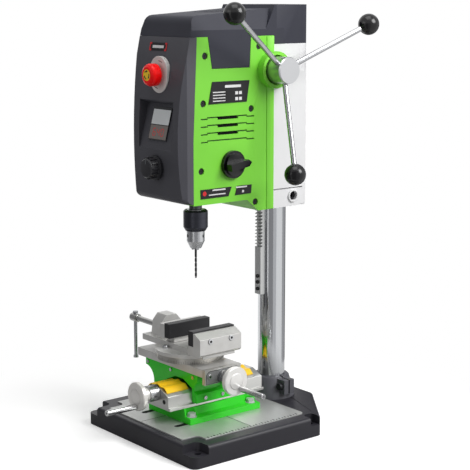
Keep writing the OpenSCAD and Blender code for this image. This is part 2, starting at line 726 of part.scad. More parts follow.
// Controls on the front
display_tilt = atan((front_at(recess_high, recess_deep) - front_at(recess_low,
  1)) / (recess_high - recess_low - 6));
module display_module() color("#9DA3A6")
  translate([display_x, front_at(recess_low, 1), recess_low]) rotate([-display_tilt, 0, 0])
  box([-display_w / 2, -1.8, display_low], [display_w / 2, -0.02, display_high]);

estop_body_r = 8;
estop_plate_t = 6;
estop_face_y = estop_seat_y - estop_plate_t;
module estop_plate() color("#D9D9D6") difference() {
  union() {
    along_y(estop_face_y, estop_seat_y) estop_outline(0);
    rod_y([estop_x, estop_seat_y - eps, estop_z], estop_body_r, 24);
  }
  rod_y([estop_x, estop_face_y - 1, estop_z], estop_stem_r + run_gap, 20);
}
estop_stem_r = 5;
module estop_button() color("#F01018") translate([estop_x, estop_face_y - estop_travel - 0.6, estop_z])
  rotate([90, 0, 0])
  rotate_extrude() polygon([[0, -10], [estop_stem_r, -10], [estop_stem_r, 0], [estop_d / 2 - 1, 0],
    [estop_d / 2, 1], [estop_d / 2, 9.5], [estop_d / 2 - 1.3, 12.2], [estop_d / 2 - 4.2, 14], [0, 14]]);

speed_shaft_r = 3;
speed_grip_r = speed_knob_d / 2 - 3.2;
module speed_knob() color("#2E2E33") {
  translate([speed_x, speed_seat_y - 3, speed_z]) rotate([90, 0, 0]) rotate_extrude()
    polygon([[0, -18], [speed_shaft_r, -18],
    [speed_shaft_r, 0], [speed_knob_d / 2, 0], [speed_knob_d / 2, 2], [speed_grip_r, 3.5],
      [speed_grip_r - 0.8, 13.5],
    [speed_grip_r - 2.3, 15], [0, 15]]);
  for (k = [0:11]) translate([speed_x, speed_seat_y - 3, speed_z]) rotate([0, 30 * k, 0])
    box([speed_grip_r - 2, -12.5, -1.2], [speed_grip_r + 0.9, -3, 1.2]);
}

selector_shaft_r = 4;
selector_x = half_w + 0.5;
module selector_knob() color("#232326") {
  rod_x([selector_x - 14, selector_y, selector_z], selector_shaft_r, 14 + eps);
  rod_x([selector_x, selector_y, selector_z], selector_d / 2, 5);
  rod_x([selector_x, selector_y, selector_z], selector_d / 2 - 3, 8);
  translate([selector_x + 7.9, selector_y, selector_z]) rotate([10, 0, 0]) {
    box([0, -selector_d / 2 + 3, -4.5], [10, selector_d / 2 - 4, 4.5]);
    along_x(0, 10) polygon([[selector_d / 2 - 4.2, -4.5], [selector_d / 2 + 1, 0],
      [selector_d / 2 - 4.2, 4.5]]);
  }
}

// Inside the head
board_x = -half_w + cover_wall;
module control_board() color("#1E6B3A") {
  box([board_x + 6, spindle_y - 20, gear_z + 18], [board_x + 7.6, motor_y + 8, gear_z + 90]);
  for (y = [spindle_y - 14, motor_y + 3], z = [gear_z + 24, gear_z + 84])
    rod_x([board_x, y, z], 3, 6 + eps);
}
lamp_y = spindle_y + 34;
module work_lamp() color("#E8E8E4") rod_z([0, lamp_y, cover_z - 4], 9, 4 - eps);

motor_shaft_r = 4;
can_z = plate_z + 4;
can_wall = 2;
can_end = 4;
stack_gap = 6;
module motor_can() color("#6E7074") difference() {
  rod_z([0, motor_y, can_z], motor_d / 2, motor_len);
  rod_z([0, motor_y, can_z + can_end], motor_d / 2 - can_wall, motor_len - 2 * can_end);
  rod_z([0, motor_y, can_z - 1], motor_shaft_r + run_gap, motor_len + 2);
}
module motor_rotor() color("#B08A4A") {
  rod_z([0, motor_y, gear_z - 2], motor_shaft_r, motor_len + can_z - gear_z + 1);
  rod_z([0, motor_y, can_z + 2 * can_end], motor_d / 2 - can_wall - stack_gap, motor_len - 4 * can_end);
  translate([0, motor_y, gear_z - 1]) rotate([0, 0, -90])
    linear_extrude(gear_t + 2) polygon(gear_points(motor_teeth, 0));
}
plate_side = 12;
plate_front = 14;
module motor_plate() color("#9B9DA0") difference() {
  box([-half_w + plate_side, spindle_y - plate_front, plate_z], [half_w - plate_side, wall_front_y, can_z]);
  rod_z([0, spindle_y, 0], bearing_bore / 2 + 2, far);
  rod_z([0, motor_y, 0], motor_shaft_r + 1, far);
}
bearing_seats = [housing_z, housing_top - bearing_t];
module spindle_housing() color("#A9ABAE") difference() {
  union() {
    rod_z([0, spindle_y, housing_z], bearing_d / 2 + 6, housing_top - housing_z);
    box([-12, spindle_y, housing_z + 4], [12, wall_front_y, housing_top]);
    box([-34, wall_front_y - 6, housing_z + 4], [34, wall_front_y, housing_top]);
    for (sx = [-1, 1]) rod_z([sx * 26, wall_front_y - 6, housing_top - 20], 5.9,
      plate_z - housing_top + 20);
  }
  for (z = bearing_seats) rod_z([0, spindle_y, z - eps], bearing_d / 2, bearing_t + 2 * eps);
  rod_z([0, spindle_y, 0], bearing_d / 2 - 3, far);
  box([-far, wall_front_y, 0], [far, far, far]);
}
module spindle_bearings() color("#C9CBCE") for (z = bearing_seats) difference() {
  rod_z([0, spindle_y, z], bearing_d / 2 - 0.02, bearing_t);
  rod_z([0, spindle_y, z - 1], bearing_bore / 2 + run_gap, bearing_t + 2);
}
spindle_r = bearing_bore / 2;
gear_seat_r = spindle_r - 1;
nose_r = 6;
nose_in = 13;
module spindle() color("#8C8E92") translate([0, spindle_y, 0]) rotate_extrude()
  polygon([[0, sleeve_top_z - nose_in],
  [nose_r, sleeve_top_z - nose_in], [nose_r, sleeve_top_z + 1], [spindle_r, sleeve_top_z + 1],
    [spindle_r, gear_z],
  [gear_seat_r, gear_z], [gear_seat_r, plate_z + 6], [0, plate_z + 6]]);
module spindle_gear() color("#9FA1A5") translate([0, spindle_y, gear_z]) difference() {
  rotate([0, 0, 90]) linear_extrude(gear_t) polygon(gear_points(spindle_teeth, 180 / spindle_teeth));
  translate([0, 0, -1]) cylinder(r = gear_seat_r, h = gear_t + 2);
}

// Chuck
body_r = chuck_body_d / 2;
core_r = body_r - 0.4;
jaw_tilt = 10;
jaw_r = 2.6;
jaw_len = 30;
jaw_grip = bit_d / 2 + 0.05;
chuck_bore_r = 4;
module jaw_axis(k) translate([0, spindle_y, 0]) rotate([0, 0, 120 * k])
  translate([jaw_grip + 1.2, 0, nose_z - 2])
  rotate([0, jaw_tilt, 0]) children();
module chuck_body() color("#B4B6B9") difference() {
  translate([0, spindle_y, 0]) rotate_extrude()
    polygon([[chuck_bore_r, nose_z], [body_r - 4.5, nose_z], [body_r, nose_z + 9.4],
    [body_r, sleeve_z - 0.3], [core_r, sleeve_z - 0.3], [core_r, sleeve_top_z + 0.6],
      [nose_r, sleeve_top_z + 0.6],
    [nose_r, sleeve_top_z - nose_in - 1], [chuck_bore_r, sleeve_top_z - nose_in - 1]]);
  for (k = [0:2]) jaw_axis(k) translate([0, 0, -9]) cylinder(r = jaw_r + run_gap, h = jaw_len + 9 + 7);
  for (k = [0:2]) translate([0, spindle_y, sleeve_z - 6.5]) rotate([0, 90, 120 * k + 20])
    cylinder(d = 4.5, h = 20);
}
sleeve_teeth = 24;
module chuck_sleeve() color("#202022") difference() {
  translate([0, spindle_y, 0]) rotate_extrude()
    polygon([[core_r + run_gap, sleeve_z], [chuck_d / 2 - 3, sleeve_z],
    [chuck_d / 2, sleeve_z + 5], [chuck_d / 2, sleeve_top_z - 2], [chuck_d / 2 - 2, sleeve_top_z],
      [core_r + run_gap, sleeve_top_z],
    [core_r + run_gap, sleeve_top_z - 3.5], [core_r + 1.4, sleeve_top_z - 3.5],
      [core_r + 1.4, sleeve_z + 5],
    [core_r + run_gap, sleeve_z + 5]]);
  for (k = [0:sleeve_teeth - 1]) translate([0, spindle_y, sleeve_z - 1])
    rotate([0, 0, k * 360 / sleeve_teeth])
    box([body_r + 0.2, -0.9, 0], [chuck_d, 0.9, 3.6]);
}
jaw_up = 9;
jaw_show = 5.4;
module chuck_jaw(k) color("#77797D") difference() {
  jaw_axis(k) cylinder(r = jaw_r, h = jaw_len);
  translate([0, spindle_y, nose_z - jaw_up]) rotate([0, 0, 120 * k])
    box([-chuck_d, -chuck_d, 0], [jaw_grip, chuck_d, 2 * jaw_len]);
  translate([0, 0, nose_z - jaw_up]) cube([far, far, 2 * jaw_show], center = true);
}
module chuck_jaw_1() chuck_jaw(0);
module chuck_jaw_2() chuck_jaw(1);
module chuck_jaw_3() chuck_jaw(2);
bit_tip = nose_z - bit_out;
module drill_bit() color("#2B2A2A") translate([0, spindle_y, 0]) rotate_extrude()
  polygon([[0, bit_tip], [bit_d / 2, bit_tip + bit_d * 0.3],
  [bit_d / 2, sleeve_top_z - nose_in - 3], [0, sleeve_top_z - nose_in - 3]]);

// Feed wheel
pinion_x = rack_w / 2 + 1;
hub_x = half_w + 4;
hub_len = 32;
shaft_left = -half_w + 4;
spoke_set = 13;
shaft_set = 14;
spoke_x = hub_x + hub_len - spoke_set;
spoke_root = hub_r - 6;
module feed_shaft() color("#A4A6AA") {
  rod_x([shaft_left, feed_y, feed_z], feed_shaft_d / 2, hub_x + shaft_set - shaft_left);
  translate([0, feed_y, feed_z]) along_x(-pinion_x, pinion_x) polygon(gear_points(pinion_teeth, 0));
}
module feed_hub() color("#C4C6C9") difference() {
  translate([hub_x, feed_y, feed_z]) rotate([0, 90, 0]) rotate_extrude()
    polygon([[0, 0], [hub_r, 0], [hub_r, hub_len - 2],
    [hub_r - 1, hub_len], [0, hub_len]]);
  rod_x([hub_x - 1, feed_y, feed_z], feed_shaft_d / 2, shaft_set + 1);
  for (k = [0:2]) spoke_frame(k) translate([0, 0, spoke_root]) cylinder(d = spoke_d, h = hub_r);
}
spoke_len = sqrt(pow(spoke_reach, 2) + pow(spoke_splay, 2));
spoke_lean = atan(spoke_splay / spoke_reach);
module spoke_frame(k) translate([spoke_x, feed_y, feed_z]) rotate([spoke_turn - 90 + 120 * k, 0, 0])
  rotate([0, spoke_lean, 0]) children();
module feed_spokes() color("#D0D2D5") for (k = [0:2]) spoke_frame(k) translate([0, 0, spoke_root])
  cylinder(d = spoke_d, h = spoke_len - spoke_root);
module feed_knobs() color("#161618") for (k = [0:2]) spoke_frame(k) difference() {
  translate([0, 0, spoke_len]) sphere(d = knob_d);
  cylinder(d = spoke_d, h = spoke_len);
}

// Cross slide
rib_w = bed_w / 2 + 4;
mound_w = rib_w + 4;
flange_t = 8;
module slide_base() color("#1FB51A") difference() {
  along_y(slide_mid_y - slide_base_l / 2, slide_mid_y + slide_base_l / 2)
    polygon([[-slide_base_w / 2, plate_top],
    [slide_base_w / 2, plate_top], [slide_base_w / 2, plate_top + flange_t],
      [mound_w, plate_top + flange_t + 1], [rib_w + 1, bed_z],
    [-rib_w - 1, bed_z], [-mound_w, plate_top + flange_t + 1], [-slide_base_w / 2, plate_top + flange_t]]);
  slide_bolt_places() {
    rod_z([0, 0, plate_top + flange_t - 0.5], 7.5, 30);
    rod_z([0, 0, 0], 3.3, far);
  }
}
module slide_bolts() color("#C9CBCC") slide_bolt_places() {
  rod_z([0, 0, plate_top + flange_t - 0.5], 7, 1.2);
  rod_z([0, 0, plate_top + flange_t + 0.7 - eps], 5.6, 4.6, $fn = 6);
  rod_z([0, 0, plate_top - plate_t + 1], 3.1, flange_t + plate_t - 1.5 + eps);
}

bed_half = bed_w / 2;
roof_half = 9;
channel_half = 7.5;
bed_end_t = 14;
module roof_shape(g) polygon([[-bed_half - g, bed_z + 4], [bed_half + g, bed_z + 4],
  [bed_half + g, bed_side_z + g * 0.4],
  [roof_half, roof_z + g], [-roof_half, roof_z + g], [-bed_half - g, bed_side_z + g * 0.4]]);
module lower_bed() color("#BDBDB9") difference() {
  along_y(bed_y - bed_l / 2, bed_y + bed_l / 2) {
    roof_shape(0);
    translate([-rib_w, bed_z]) square([2 * rib_w, 4 + eps]);
  }
  box([-channel_half, bed_y - bed_l / 2 + bed_end_t, lower_axis_z - 8],
    [channel_half, bed_y + bed_l / 2 - bed_end_t, roof_z + 1]);
  rod_y([0, bed_y - bed_l / 2 - 1, lower_axis_z], lead_r + run_gap, bed_l + 2);
}
guard_t = 1.2;
guard_wave = 1.3;
guard_half = bed_half - 6;
guard_n = 24;
roof_slope = bed_roof / (bed_half - roof_half);
function guard_z(x) = roof_z - max(0, abs(x) - roof_half) * roof_slope + 0.05
  + guard_wave * (1 + cos(360 * x / 15.6));
module guard_shape() polygon(concat([for (i = [0:guard_n])
  let (x = -guard_half + 2 * guard_half * i / guard_n) [x, guard_z(x)]],
  [for (i = [guard_n:-1:0]) let (x = -guard_half + 2 * guard_half * i / guard_n)
    [x, guard_z(x) + guard_t]]));
guard_front = slide_y - saddle_l / 2 - 1.5;
guard_back = slide_y + saddle_l / 2 + 1.5;
module chip_guards() color("#FFC91A") {
  along_y(bed_y - bed_l / 2 + 3, guard_front) guard_shape();
  along_y(guard_back, bed_y + bed_l / 2 - 11) guard_shape();
}

skirt_gap = 0.35;
skirt_half = bed_half + 10;
deck_left = -deck_left_out;
deck_mid = (deck_left + deck_right) / 2;
left_skirt = skirt_half + 20;
web_r = deck_left_out - left_skirt;
skirt_z = bed_z + 5;
rail_half = table_w / 2 - 16;
rail_h = table_t - 5;
deck_end_t = 9;
nut_l = 16;
// Hollow curve from the deck's far end down to the skirt
web_curve = [for (t = [90:-15:0]) [deck_left + web_r * cos(t), saddle_z - deck_end_t - web_r * (1 - sin(t))]];
module saddle() color("#129A0C") difference() {
  union() {
    along_y(slide_y - saddle_l / 2, slide_y + saddle_l / 2) difference() {
      polygon([[-left_skirt, skirt_z], [skirt_half, skirt_z], [skirt_half, skirt_z + 12],
        [skirt_half - 5, skirt_z + 15],
        [skirt_half - 4, tunnel_z - 4], [deck_right, tunnel_z + 3], [deck_right, saddle_z],
        [deck_left, saddle_z], each web_curve]);
      polygon([[-bed_half - skirt_gap, 0], [bed_half + skirt_gap, 0],
        [bed_half + skirt_gap, bed_side_z + 5], [roof_half, tunnel_z],
        [-roof_half, tunnel_z], [-bed_half - skirt_gap, bed_side_z + 5]]);
    }
    box([deck_left, slide_y - rail_half, saddle_z - 1], [deck_right, slide_y + rail_half, saddle_z + rail_h]);
    box([-channel_half + 0.5, slide_y - nut_l / 2, lower_axis_z - 7.4],
      [channel_half - 0.5, slide_y + nut_l / 2, tunnel_z + 1]);
  }
  rod_y([0, slide_y - saddle_l, lower_axis_z], lead_r + run_gap, 2 * saddle_l);
  rod_x([-far, slide_y, upper_axis_z], lead_r + run_gap, 2 * far);
}
module gib_screws() color("#B9BBBD") {
  for (x = [deck_left + 6, deck_mid, deck_right - 9])
    rod_y([x, slide_y - saddle_l / 2 - 1.4, saddle_z - 4], 2.4, 1.4);
  for (y = [-1, 1]) rod_x([skirt_half, slide_y + y * saddle_l / 4, skirt_z + 6], 2.6, 1.6);
}

front_bed_y = bed_y - bed_l / 2;
lower_reach = 26;
wheel_back_y = front_bed_y - lower_reach;
module lower_screw() color("#C6C7C9") {
  rod_y([0, wheel_back_y - wheel_t + 1, lower_axis_z], lead_r, bed_l + lower_reach - 4 + wheel_t);
  rod_y([0, wheel_back_y + wheel_boss, lower_axis_z], boss_r + 2, lower_reach - wheel_boss - part_gap);
}
crank_r = wheel_d / 2 - 6;
grip_pin_r = 2.2;
module wheel_disc() rotate_extrude() polygon([[lead_r, -wheel_boss], [boss_r, -wheel_boss], [boss_r, 0],
  [wheel_d / 2, 0], [wheel_d / 2, wheel_t - 1], [wheel_d / 2 - 1, wheel_t], [lead_r, wheel_t]]);
module grip_pin() translate([0, 0, -eps]) cylinder(r = grip_pin_r, h = grip_l - 1);
module grip_sleeve() translate([0, 0, wheel_t + 0.3]) rotate_extrude() polygon([[grip_pin_r + run_gap, 0],
  [grip_d / 2 - 0.5, 0], [grip_d / 2, 1], [grip_d / 2, grip_l - 1], [grip_d / 2 - 0.6, grip_l],
  [grip_pin_r + run_gap, grip_l]]);
module lower_crank() translate([0, wheel_back_y, lower_axis_z]) rotate([90, 0, 0]) children();
module crank_place(a) rotate([0, 0, a]) translate([crank_r, 0, 0]) children();
lower_angle = -88;
upper_angle = -58;
module lower_handwheel() color("#C3C1BC") lower_crank() {
  wheel_disc();
  crank_place(lower_angle) translate([0, 0, wheel_t]) grip_pin();
}
module lower_grip() color("#D5D4D0") lower_crank() crank_place(lower_angle) grip_sleeve();

module upper_table() color("#A5A39C") difference() {
  box([table_left, slide_y - table_w / 2, table_z], [table_right, slide_y + table_w / 2, table_top]);
  box([table_left - 1, slide_y - rail_half - part_gap, 0],
    [table_right + 1, slide_y + rail_half + part_gap, saddle_z + rail_h + part_gap]);
}
end_drop = 9;
module table_end() color("#8F8E8A") difference() {
  box([table_right, slide_y - table_w / 2, saddle_z - end_drop],
    [table_right + end_t, slide_y + table_w / 2, table_top]);
  rod_x([-far, slide_y, upper_axis_z], lead_r + run_gap, 2 * far);
}
upper_screw_left = table_left + 22;
upper_reach = 22;
wheel_back_x = table_right + end_t + upper_reach;
module upper_screw() color("#C6C7C9") {
  rod_x([upper_screw_left, slide_y, upper_axis_z], lead_r, wheel_back_x + wheel_t - 1 - upper_screw_left);
  rod_x([table_right + end_t + part_gap, slide_y, upper_axis_z], boss_r + 1,
    upper_reach - wheel_boss - part_gap);
}
module upper_crank() translate([wheel_back_x, slide_y, upper_axis_z]) rotate([90, 0, 90]) children();
module upper_handwheel() color("#E4E2DF") upper_crank() {
  wheel_disc();
  crank_place(upper_angle) translate([0, 0, wheel_t]) grip_pin();
}
module upper_grip() color("#D5D4D0") upper_crank() crank_place(upper_angle) grip_sleeve();

// Vise
pivot_r = 7;
module swivel_base() color("#B0AFAA") {
  rod_z([swivel_x, slide_y, table_top], swivel_r, swivel_h);
  rod_z([swivel_x, slide_y, table_top + swivel_h - eps], pivot_r, vise_bed_t / 2);
}
jaw_half = jaw_l / 2;
vise_left = hump_x - hump_t - 10;
vise_right = fixed_x + jaw_plate_t + jaw_body_t;
bed_half_y = jaw_half - 8;
hump_half = 19;
jaw_gap = 0.35;
foot_t = 5;
foot_r = swivel_r + 2;
jaw_plate_z = jaw_top + 2 - jaw_plate_h;
module vise_body() color("#A5A39C") difference() {
  union() {
    box([vise_left, slide_y - bed_half_y, vise_z + foot_t - 1],
      [vise_right - 4, slide_y + bed_half_y, vise_bed_top]);
    rod_z([swivel_x, slide_y, vise_z], foot_r, foot_t);
    along_y(slide_y - jaw_half, slide_y + jaw_half)
      polygon([[fixed_x, vise_bed_top - 4], [vise_right - 3, vise_bed_top - 4],
      [vise_right, vise_bed_top - 1], [vise_right, jaw_top - 6.5], [fixed_x + jaw_plate_t + 3, jaw_top],
      [fixed_x + jaw_plate_t, jaw_top], [fixed_x + jaw_plate_t, jaw_plate_z], [fixed_x, jaw_plate_z]]);
    along_x(hump_x - hump_t, hump_x)
      polygon([[slide_y - hump_half, vise_bed_top - 1], [slide_y + hump_half, vise_bed_top - 1],
      [slide_y + hump_half - 3, vise_axis_z + 12], [slide_y + 8, jaw_top + 3], [slide_y - 8, jaw_top + 3],
        [slide_y - hump_half + 3, vise_axis_z + 12]]);
  }
  rod_z([swivel_x, slide_y, vise_z - 1], pivot_r + run_gap, 1 + vise_bed_t / 2 + part_gap);
  rod_x([hump_x - hump_t - 1, slide_y, vise_axis_z], vise_screw_d / 2 + run_gap, hump_t + 2);
}
jaw_screw_r = 3.8;
jaw_screw_down = 10.2;
module fixed_jaw_plate() color("#2E2D30") {
  box([fixed_x, slide_y - jaw_half, jaw_plate_z],
    [fixed_x + jaw_plate_t, slide_y + jaw_half, jaw_top + 2]);
  for (sy = [-1, 1])
    rod_x([vise_right, slide_y + sy * jaw_l / 4, jaw_top - jaw_screw_down], jaw_screw_r, 0.9);
}
module movable_jaw() color("#A5A39C") difference() {
  union() {
    box([block_left, slide_y - jaw_half + 0.5, jaw_plate_z - 2],
      [movable_x - jaw_plate_t, slide_y + jaw_half - 0.5, jaw_top]);
    box([block_left, slide_y - bed_half_y + 4, vise_bed_top + jaw_gap],
      [movable_x - jaw_plate_t + 6, slide_y + bed_half_y - 4, jaw_plate_z - part_gap]);
  }
  rod_x([block_left - 1, slide_y, vise_axis_z], vise_screw_d / 2 + run_gap, screw_in + 1.5);
}
module movable_jaw_plate() color("#2E2D30")
  box([movable_x - jaw_plate_t, slide_y - jaw_half, jaw_plate_z],
    [movable_x, slide_y + jaw_half, jaw_top + 2]);
screw_head_r = vise_screw_d / 2 + 2;
screw_in = block_t - 2.5;
module vise_screw() color("#B9BABC") difference() {
  union() {
    rod_x([vise_screw_out, slide_y, vise_axis_z], vise_screw_d / 2, block_left + screw_in - vise_screw_out);
    rod_x([vise_screw_out, slide_y, vise_axis_z], screw_head_r, 13);
  }
  rod_z([vise_screw_out + tommy_in, slide_y, vise_axis_z - 20], tommy_d / 2 + run_gap, 40);
}
tommy_top = vise_axis_z + screw_head_r + 2.2;
module tommy_bar() color("#A9AAAC") {
  rod_z([vise_screw_out + tommy_in, slide_y, tommy_top - tommy_l], tommy_d / 2, tommy_l);
  rod_z([vise_screw_out + tommy_in, slide_y, tommy_top - 2], tommy_end_r, 3);
  rod_z([vise_screw_out + tommy_in, slide_y, tommy_top - tommy_l - 1], tommy_end_r, 3);
}

base_casting();
table_plate();
column_collar();
collar_screw();
column();
rack();
rack_screws();
head_casting();
head_lock_screw();
right_cover();
left_cover();
front_panel();
top_cover();
cover_screws();
label_plates();
display_module();
estop_plate();
estop_button();
speed_knob();
selector_knob();
control_board();
work_lamp();
motor_can();
motor_rotor();
motor_plate();
spindle_housing();
spindle_bearings();
spindle();
spindle_gear();
chuck_body();
chuck_sleeve();
chuck_jaw_1();
chuck_jaw_2();
chuck_jaw_3();
drill_bit();
feed_shaft();
feed_hub();
feed_spokes();
feed_knobs();
slide_base();
slide_bolts();
lower_bed();
chip_guards();
saddle();
gib_screws();
lower_screw();
lower_handwheel();
lower_grip();
upper_table();
table_end();
upper_screw();
upper_handwheel();
upper_grip();
swivel_base();
vise_body();
fixed_jaw_plate();
movable_jaw();
movable_jaw_plate();
vise_screw();
tommy_bar();
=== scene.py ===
import json
import math

import bmesh
import bpy
import numpy as np
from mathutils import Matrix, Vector


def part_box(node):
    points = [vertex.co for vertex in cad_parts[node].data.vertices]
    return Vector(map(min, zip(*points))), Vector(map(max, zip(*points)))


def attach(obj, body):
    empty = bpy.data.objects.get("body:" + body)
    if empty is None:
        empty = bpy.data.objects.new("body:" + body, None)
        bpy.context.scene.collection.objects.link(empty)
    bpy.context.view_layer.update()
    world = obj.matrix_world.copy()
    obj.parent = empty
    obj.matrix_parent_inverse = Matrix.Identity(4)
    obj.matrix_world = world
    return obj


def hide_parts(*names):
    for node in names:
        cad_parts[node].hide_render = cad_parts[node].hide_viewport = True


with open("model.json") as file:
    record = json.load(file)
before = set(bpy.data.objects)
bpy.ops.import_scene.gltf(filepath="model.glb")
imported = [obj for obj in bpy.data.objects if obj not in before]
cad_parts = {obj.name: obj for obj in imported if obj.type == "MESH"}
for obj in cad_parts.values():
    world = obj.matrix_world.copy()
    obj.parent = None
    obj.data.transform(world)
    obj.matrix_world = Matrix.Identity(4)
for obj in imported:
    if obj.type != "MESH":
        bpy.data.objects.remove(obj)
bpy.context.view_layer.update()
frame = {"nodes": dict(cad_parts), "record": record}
nodes = frame["nodes"]
record = frame["record"]
bodyOfNode = {node: body for body, members in record["behaviour"]["bodies"].items() for node in members}
slotOfNode = {part["node"]: part["material_slot"] for part in record["subparts"]}
mm = 0.001
mergeMm = 0.0005
print("frame loaded:", len(nodes), "nodes")


# helpers for nodes, colours and meshes

def linear(hexText):
    # sRGB hex to the linear colour that a shader socket takes
    srgb = np.array([int(hexText[i:i + 2], 16) for i in (1, 3, 5)]) / 255
    flat = np.where(srgb <= 0.04045, srgb / 12.92, ((srgb + 0.055) / 1.055) ** 2.4)
    return (*flat.tolist(), 1.0)


def addNode(tree, kind, settings=None, links=None):
    # one node with its sockets or properties set, and its inputs linked
    node = tree.nodes.new(kind)
    for key, value in (settings or {}).items():
        if isinstance(key, int) or key in node.inputs:
            node.inputs[key].default_value = value
        else:
            setattr(node, key, value)
    for key, source in (links or {}).items():
        tree.links.new(source, node.inputs[key])
    return node


def newMaterial(name, sockets):
    # a Principled material with its constant sockets set directly
    material = bpy.data.materials.new(name)
    material.use_nodes = True
    tree = material.node_tree
    shader = tree.nodes["Principled BSDF"]
    for key, value in sockets.items():
        shader.inputs[key].default_value = value
    return material, tree, shader


def gridFaces(rows, columns, closeRows=False, closeColumns=False):
    # quads of a grid of rows x columns points, numbered row by row
    r = np.arange(rows if closeRows else rows - 1)
    c = np.arange(columns if closeColumns else columns - 1)
    r, c = np.meshgrid(r, c, indexing="ij")
    nextR = (r + 1) % rows
    nextC = (c + 1) % columns
    corners = (r * columns + c, r * columns + nextC, nextR * columns + nextC, nextR * columns + c)
    return np.stack(corners, -1).reshape(-1, 4)


def addPiece(name, points, faces, material, body, smooth=False, slot=None):
    # a mesh piece in the frame's own place, riding on a body; poles merge and faces turn outwards
    mesh = bpy.data.meshes.new(name)
    mesh.from_pydata(np.asarray(points, float).reshape(-1, 3).tolist(), [], np.asarray(faces).tolist())
    work = bmesh.new()
    work.from_mesh(mesh)
    bmesh.ops.remove_doubles(work, verts=work.verts, dist=mergeMm * mm)
    bmesh.ops.recalc_face_normals(work, faces=work.faces)
    work.to_mesh(mesh)
    work.free()
    mesh.materials.append(material)
    mesh.polygons.foreach_set("use_smooth", [smooth] * len(mesh.polygons))
    mesh.update()
    piece = bpy.data.objects.new(name, mesh)
    bpy.context.scene.collection.objects.link(piece)
    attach(piece, body)
    return piece


def tiles(centres, halfU, halfV, halfW):
    # closed boxes: corner = centre +- u +- v +- w, for each row of the arrays
    centres = np.asarray(centres, float).reshape(-1, 1, 3)
    halves = [np.broadcast_to(np.asarray(half, float), (len(centres), 3))[:, None, :]
              for half in (halfU, halfV, halfW)]
    signs = np.array([(a, b, c) for a in (-1, 1) for b in (-1, 1) for c in (-1, 1)], float)
    points = centres + sum(signs[None, :, k, None] * halves[k] for k in range(3))
    one = np.array([(0, 1, 3, 2), (4, 6, 7, 5), (0, 4, 5, 1), (2, 3, 7, 6), (0, 2, 6, 4), (1, 5, 7, 3)])
    turned = np.einsum("ij,ij->i", np.cross(halves[0][:, 0], halves[1][:, 0]), halves[2][:, 0]) < 0
    faces = one[None] + 8 * np.arange(len(centres))[:, None, None]
    faces[turned] = faces[turned][:, :, ::-1]
    return points.reshape(-1, 3), faces.reshape(-1, 4)


def lathe(profile, centre, axis, steps=64):
    # profile of (radius, along) points turned about an axis through centre
    axis = np.asarray(axis, float)
    side = np.array([axis[1], axis[2], axis[0]])
    other = np.cross(axis, side)
    angle = np.linspace(0, 2 * np.pi, steps, endpoint=False)
    ring = np.cos(angle)[:, None] * side + np.sin(angle)[:, None] * other
    profile = np.asarray(profile, float)
    points = centre + profile[:, 0, None, None] * ring[None] + profile[:, 1, None, None] * axis
    faces = gridFaces(len(profile), steps, closeColumns=True)
    return points.reshape(-1, 3), faces


def strips(sections):
    # closed bars: each row of sections is a four-point section carried along a path, with both ends capped
    count, length = sections.shape[:2]
    one = np.concatenate([gridFaces(length, 4, closeColumns=True),
                          [(0, 1, 2, 3), tuple(4 * (length - 1) + k for k in (3, 2, 1, 0))]])
    faces = one[None] + 4 * length * np.arange(count)[:, None, None]
    return sections.reshape(-1, 3), faces.reshape(-1, 4)


def boxOf(node):
    low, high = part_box(node)
    return np.array(low), np.array(high)


def middleOf(node):
    low, high = boxOf(node)
    return (low + high) / 2


# materials, each from what the real surface is, save the lighter and darker copies noted below that paint
# light or shade

def dress(tree, shader, colours, toneBy, glossRange, glossBy, bumpBy, bumpStrength, bumpMm):
    # colour mixed, roughness ranged and surface bumped by the outputs of the textures
    tone = addNode(tree, "ShaderNodeMix", {"data_type": "RGBA", 6: linear(colours[0]), 7: linear(colours[1])},
                   {0: toneBy})
    gloss = addNode(tree, "ShaderNodeMapRange", {"To Min": glossRange[0], "To Max": glossRange[1]},
                    {"Value": glossBy})
    bump = addNode(tree, "ShaderNodeBump", {"Strength": bumpStrength, "Distance": bumpMm * mm},
                   {"Height": bumpBy})
    tree.links.new(tone.outputs[2], shader.inputs["Base Color"])
    tree.links.new(gloss.outputs["Result"], shader.inputs["Roughness"])
    tree.links.new(bump.outputs["Normal"], shader.inputs["Normal"])


def mouldedPlastic(name, colour, shade, roughness, grainMm, grainDepth, coat=0.0, sheen=0.5):
    # ABS or nylon from a spark-eroded mould: an even fine grain and a soft satin sheen
    material, tree, shader = newMaterial(name, {"IOR": 1.53, "Coat Weight": coat, "Coat Roughness": 0.12,
                                                "Specular IOR Level": sheen})
    place = addNode(tree, "ShaderNodeTexCoord").outputs["Object"]
    grain = addNode(tree, "ShaderNodeTexNoise", {"Scale": 1 / (grainMm * mm), "Detail": 3.0},
                    {"Vector": place})
    flow = addNode(tree, "ShaderNodeTexNoise", {"Scale": 1 / (55 * mm), "Detail": 2.0}, {"Vector": place})
    dress(tree, shader, (colour, shade), flow.outputs["Fac"], (roughness - 0.05, roughness + 0.07),
          flow.outputs["Fac"], grain.outputs["Fac"], grainDepth, 0.1)
    return material


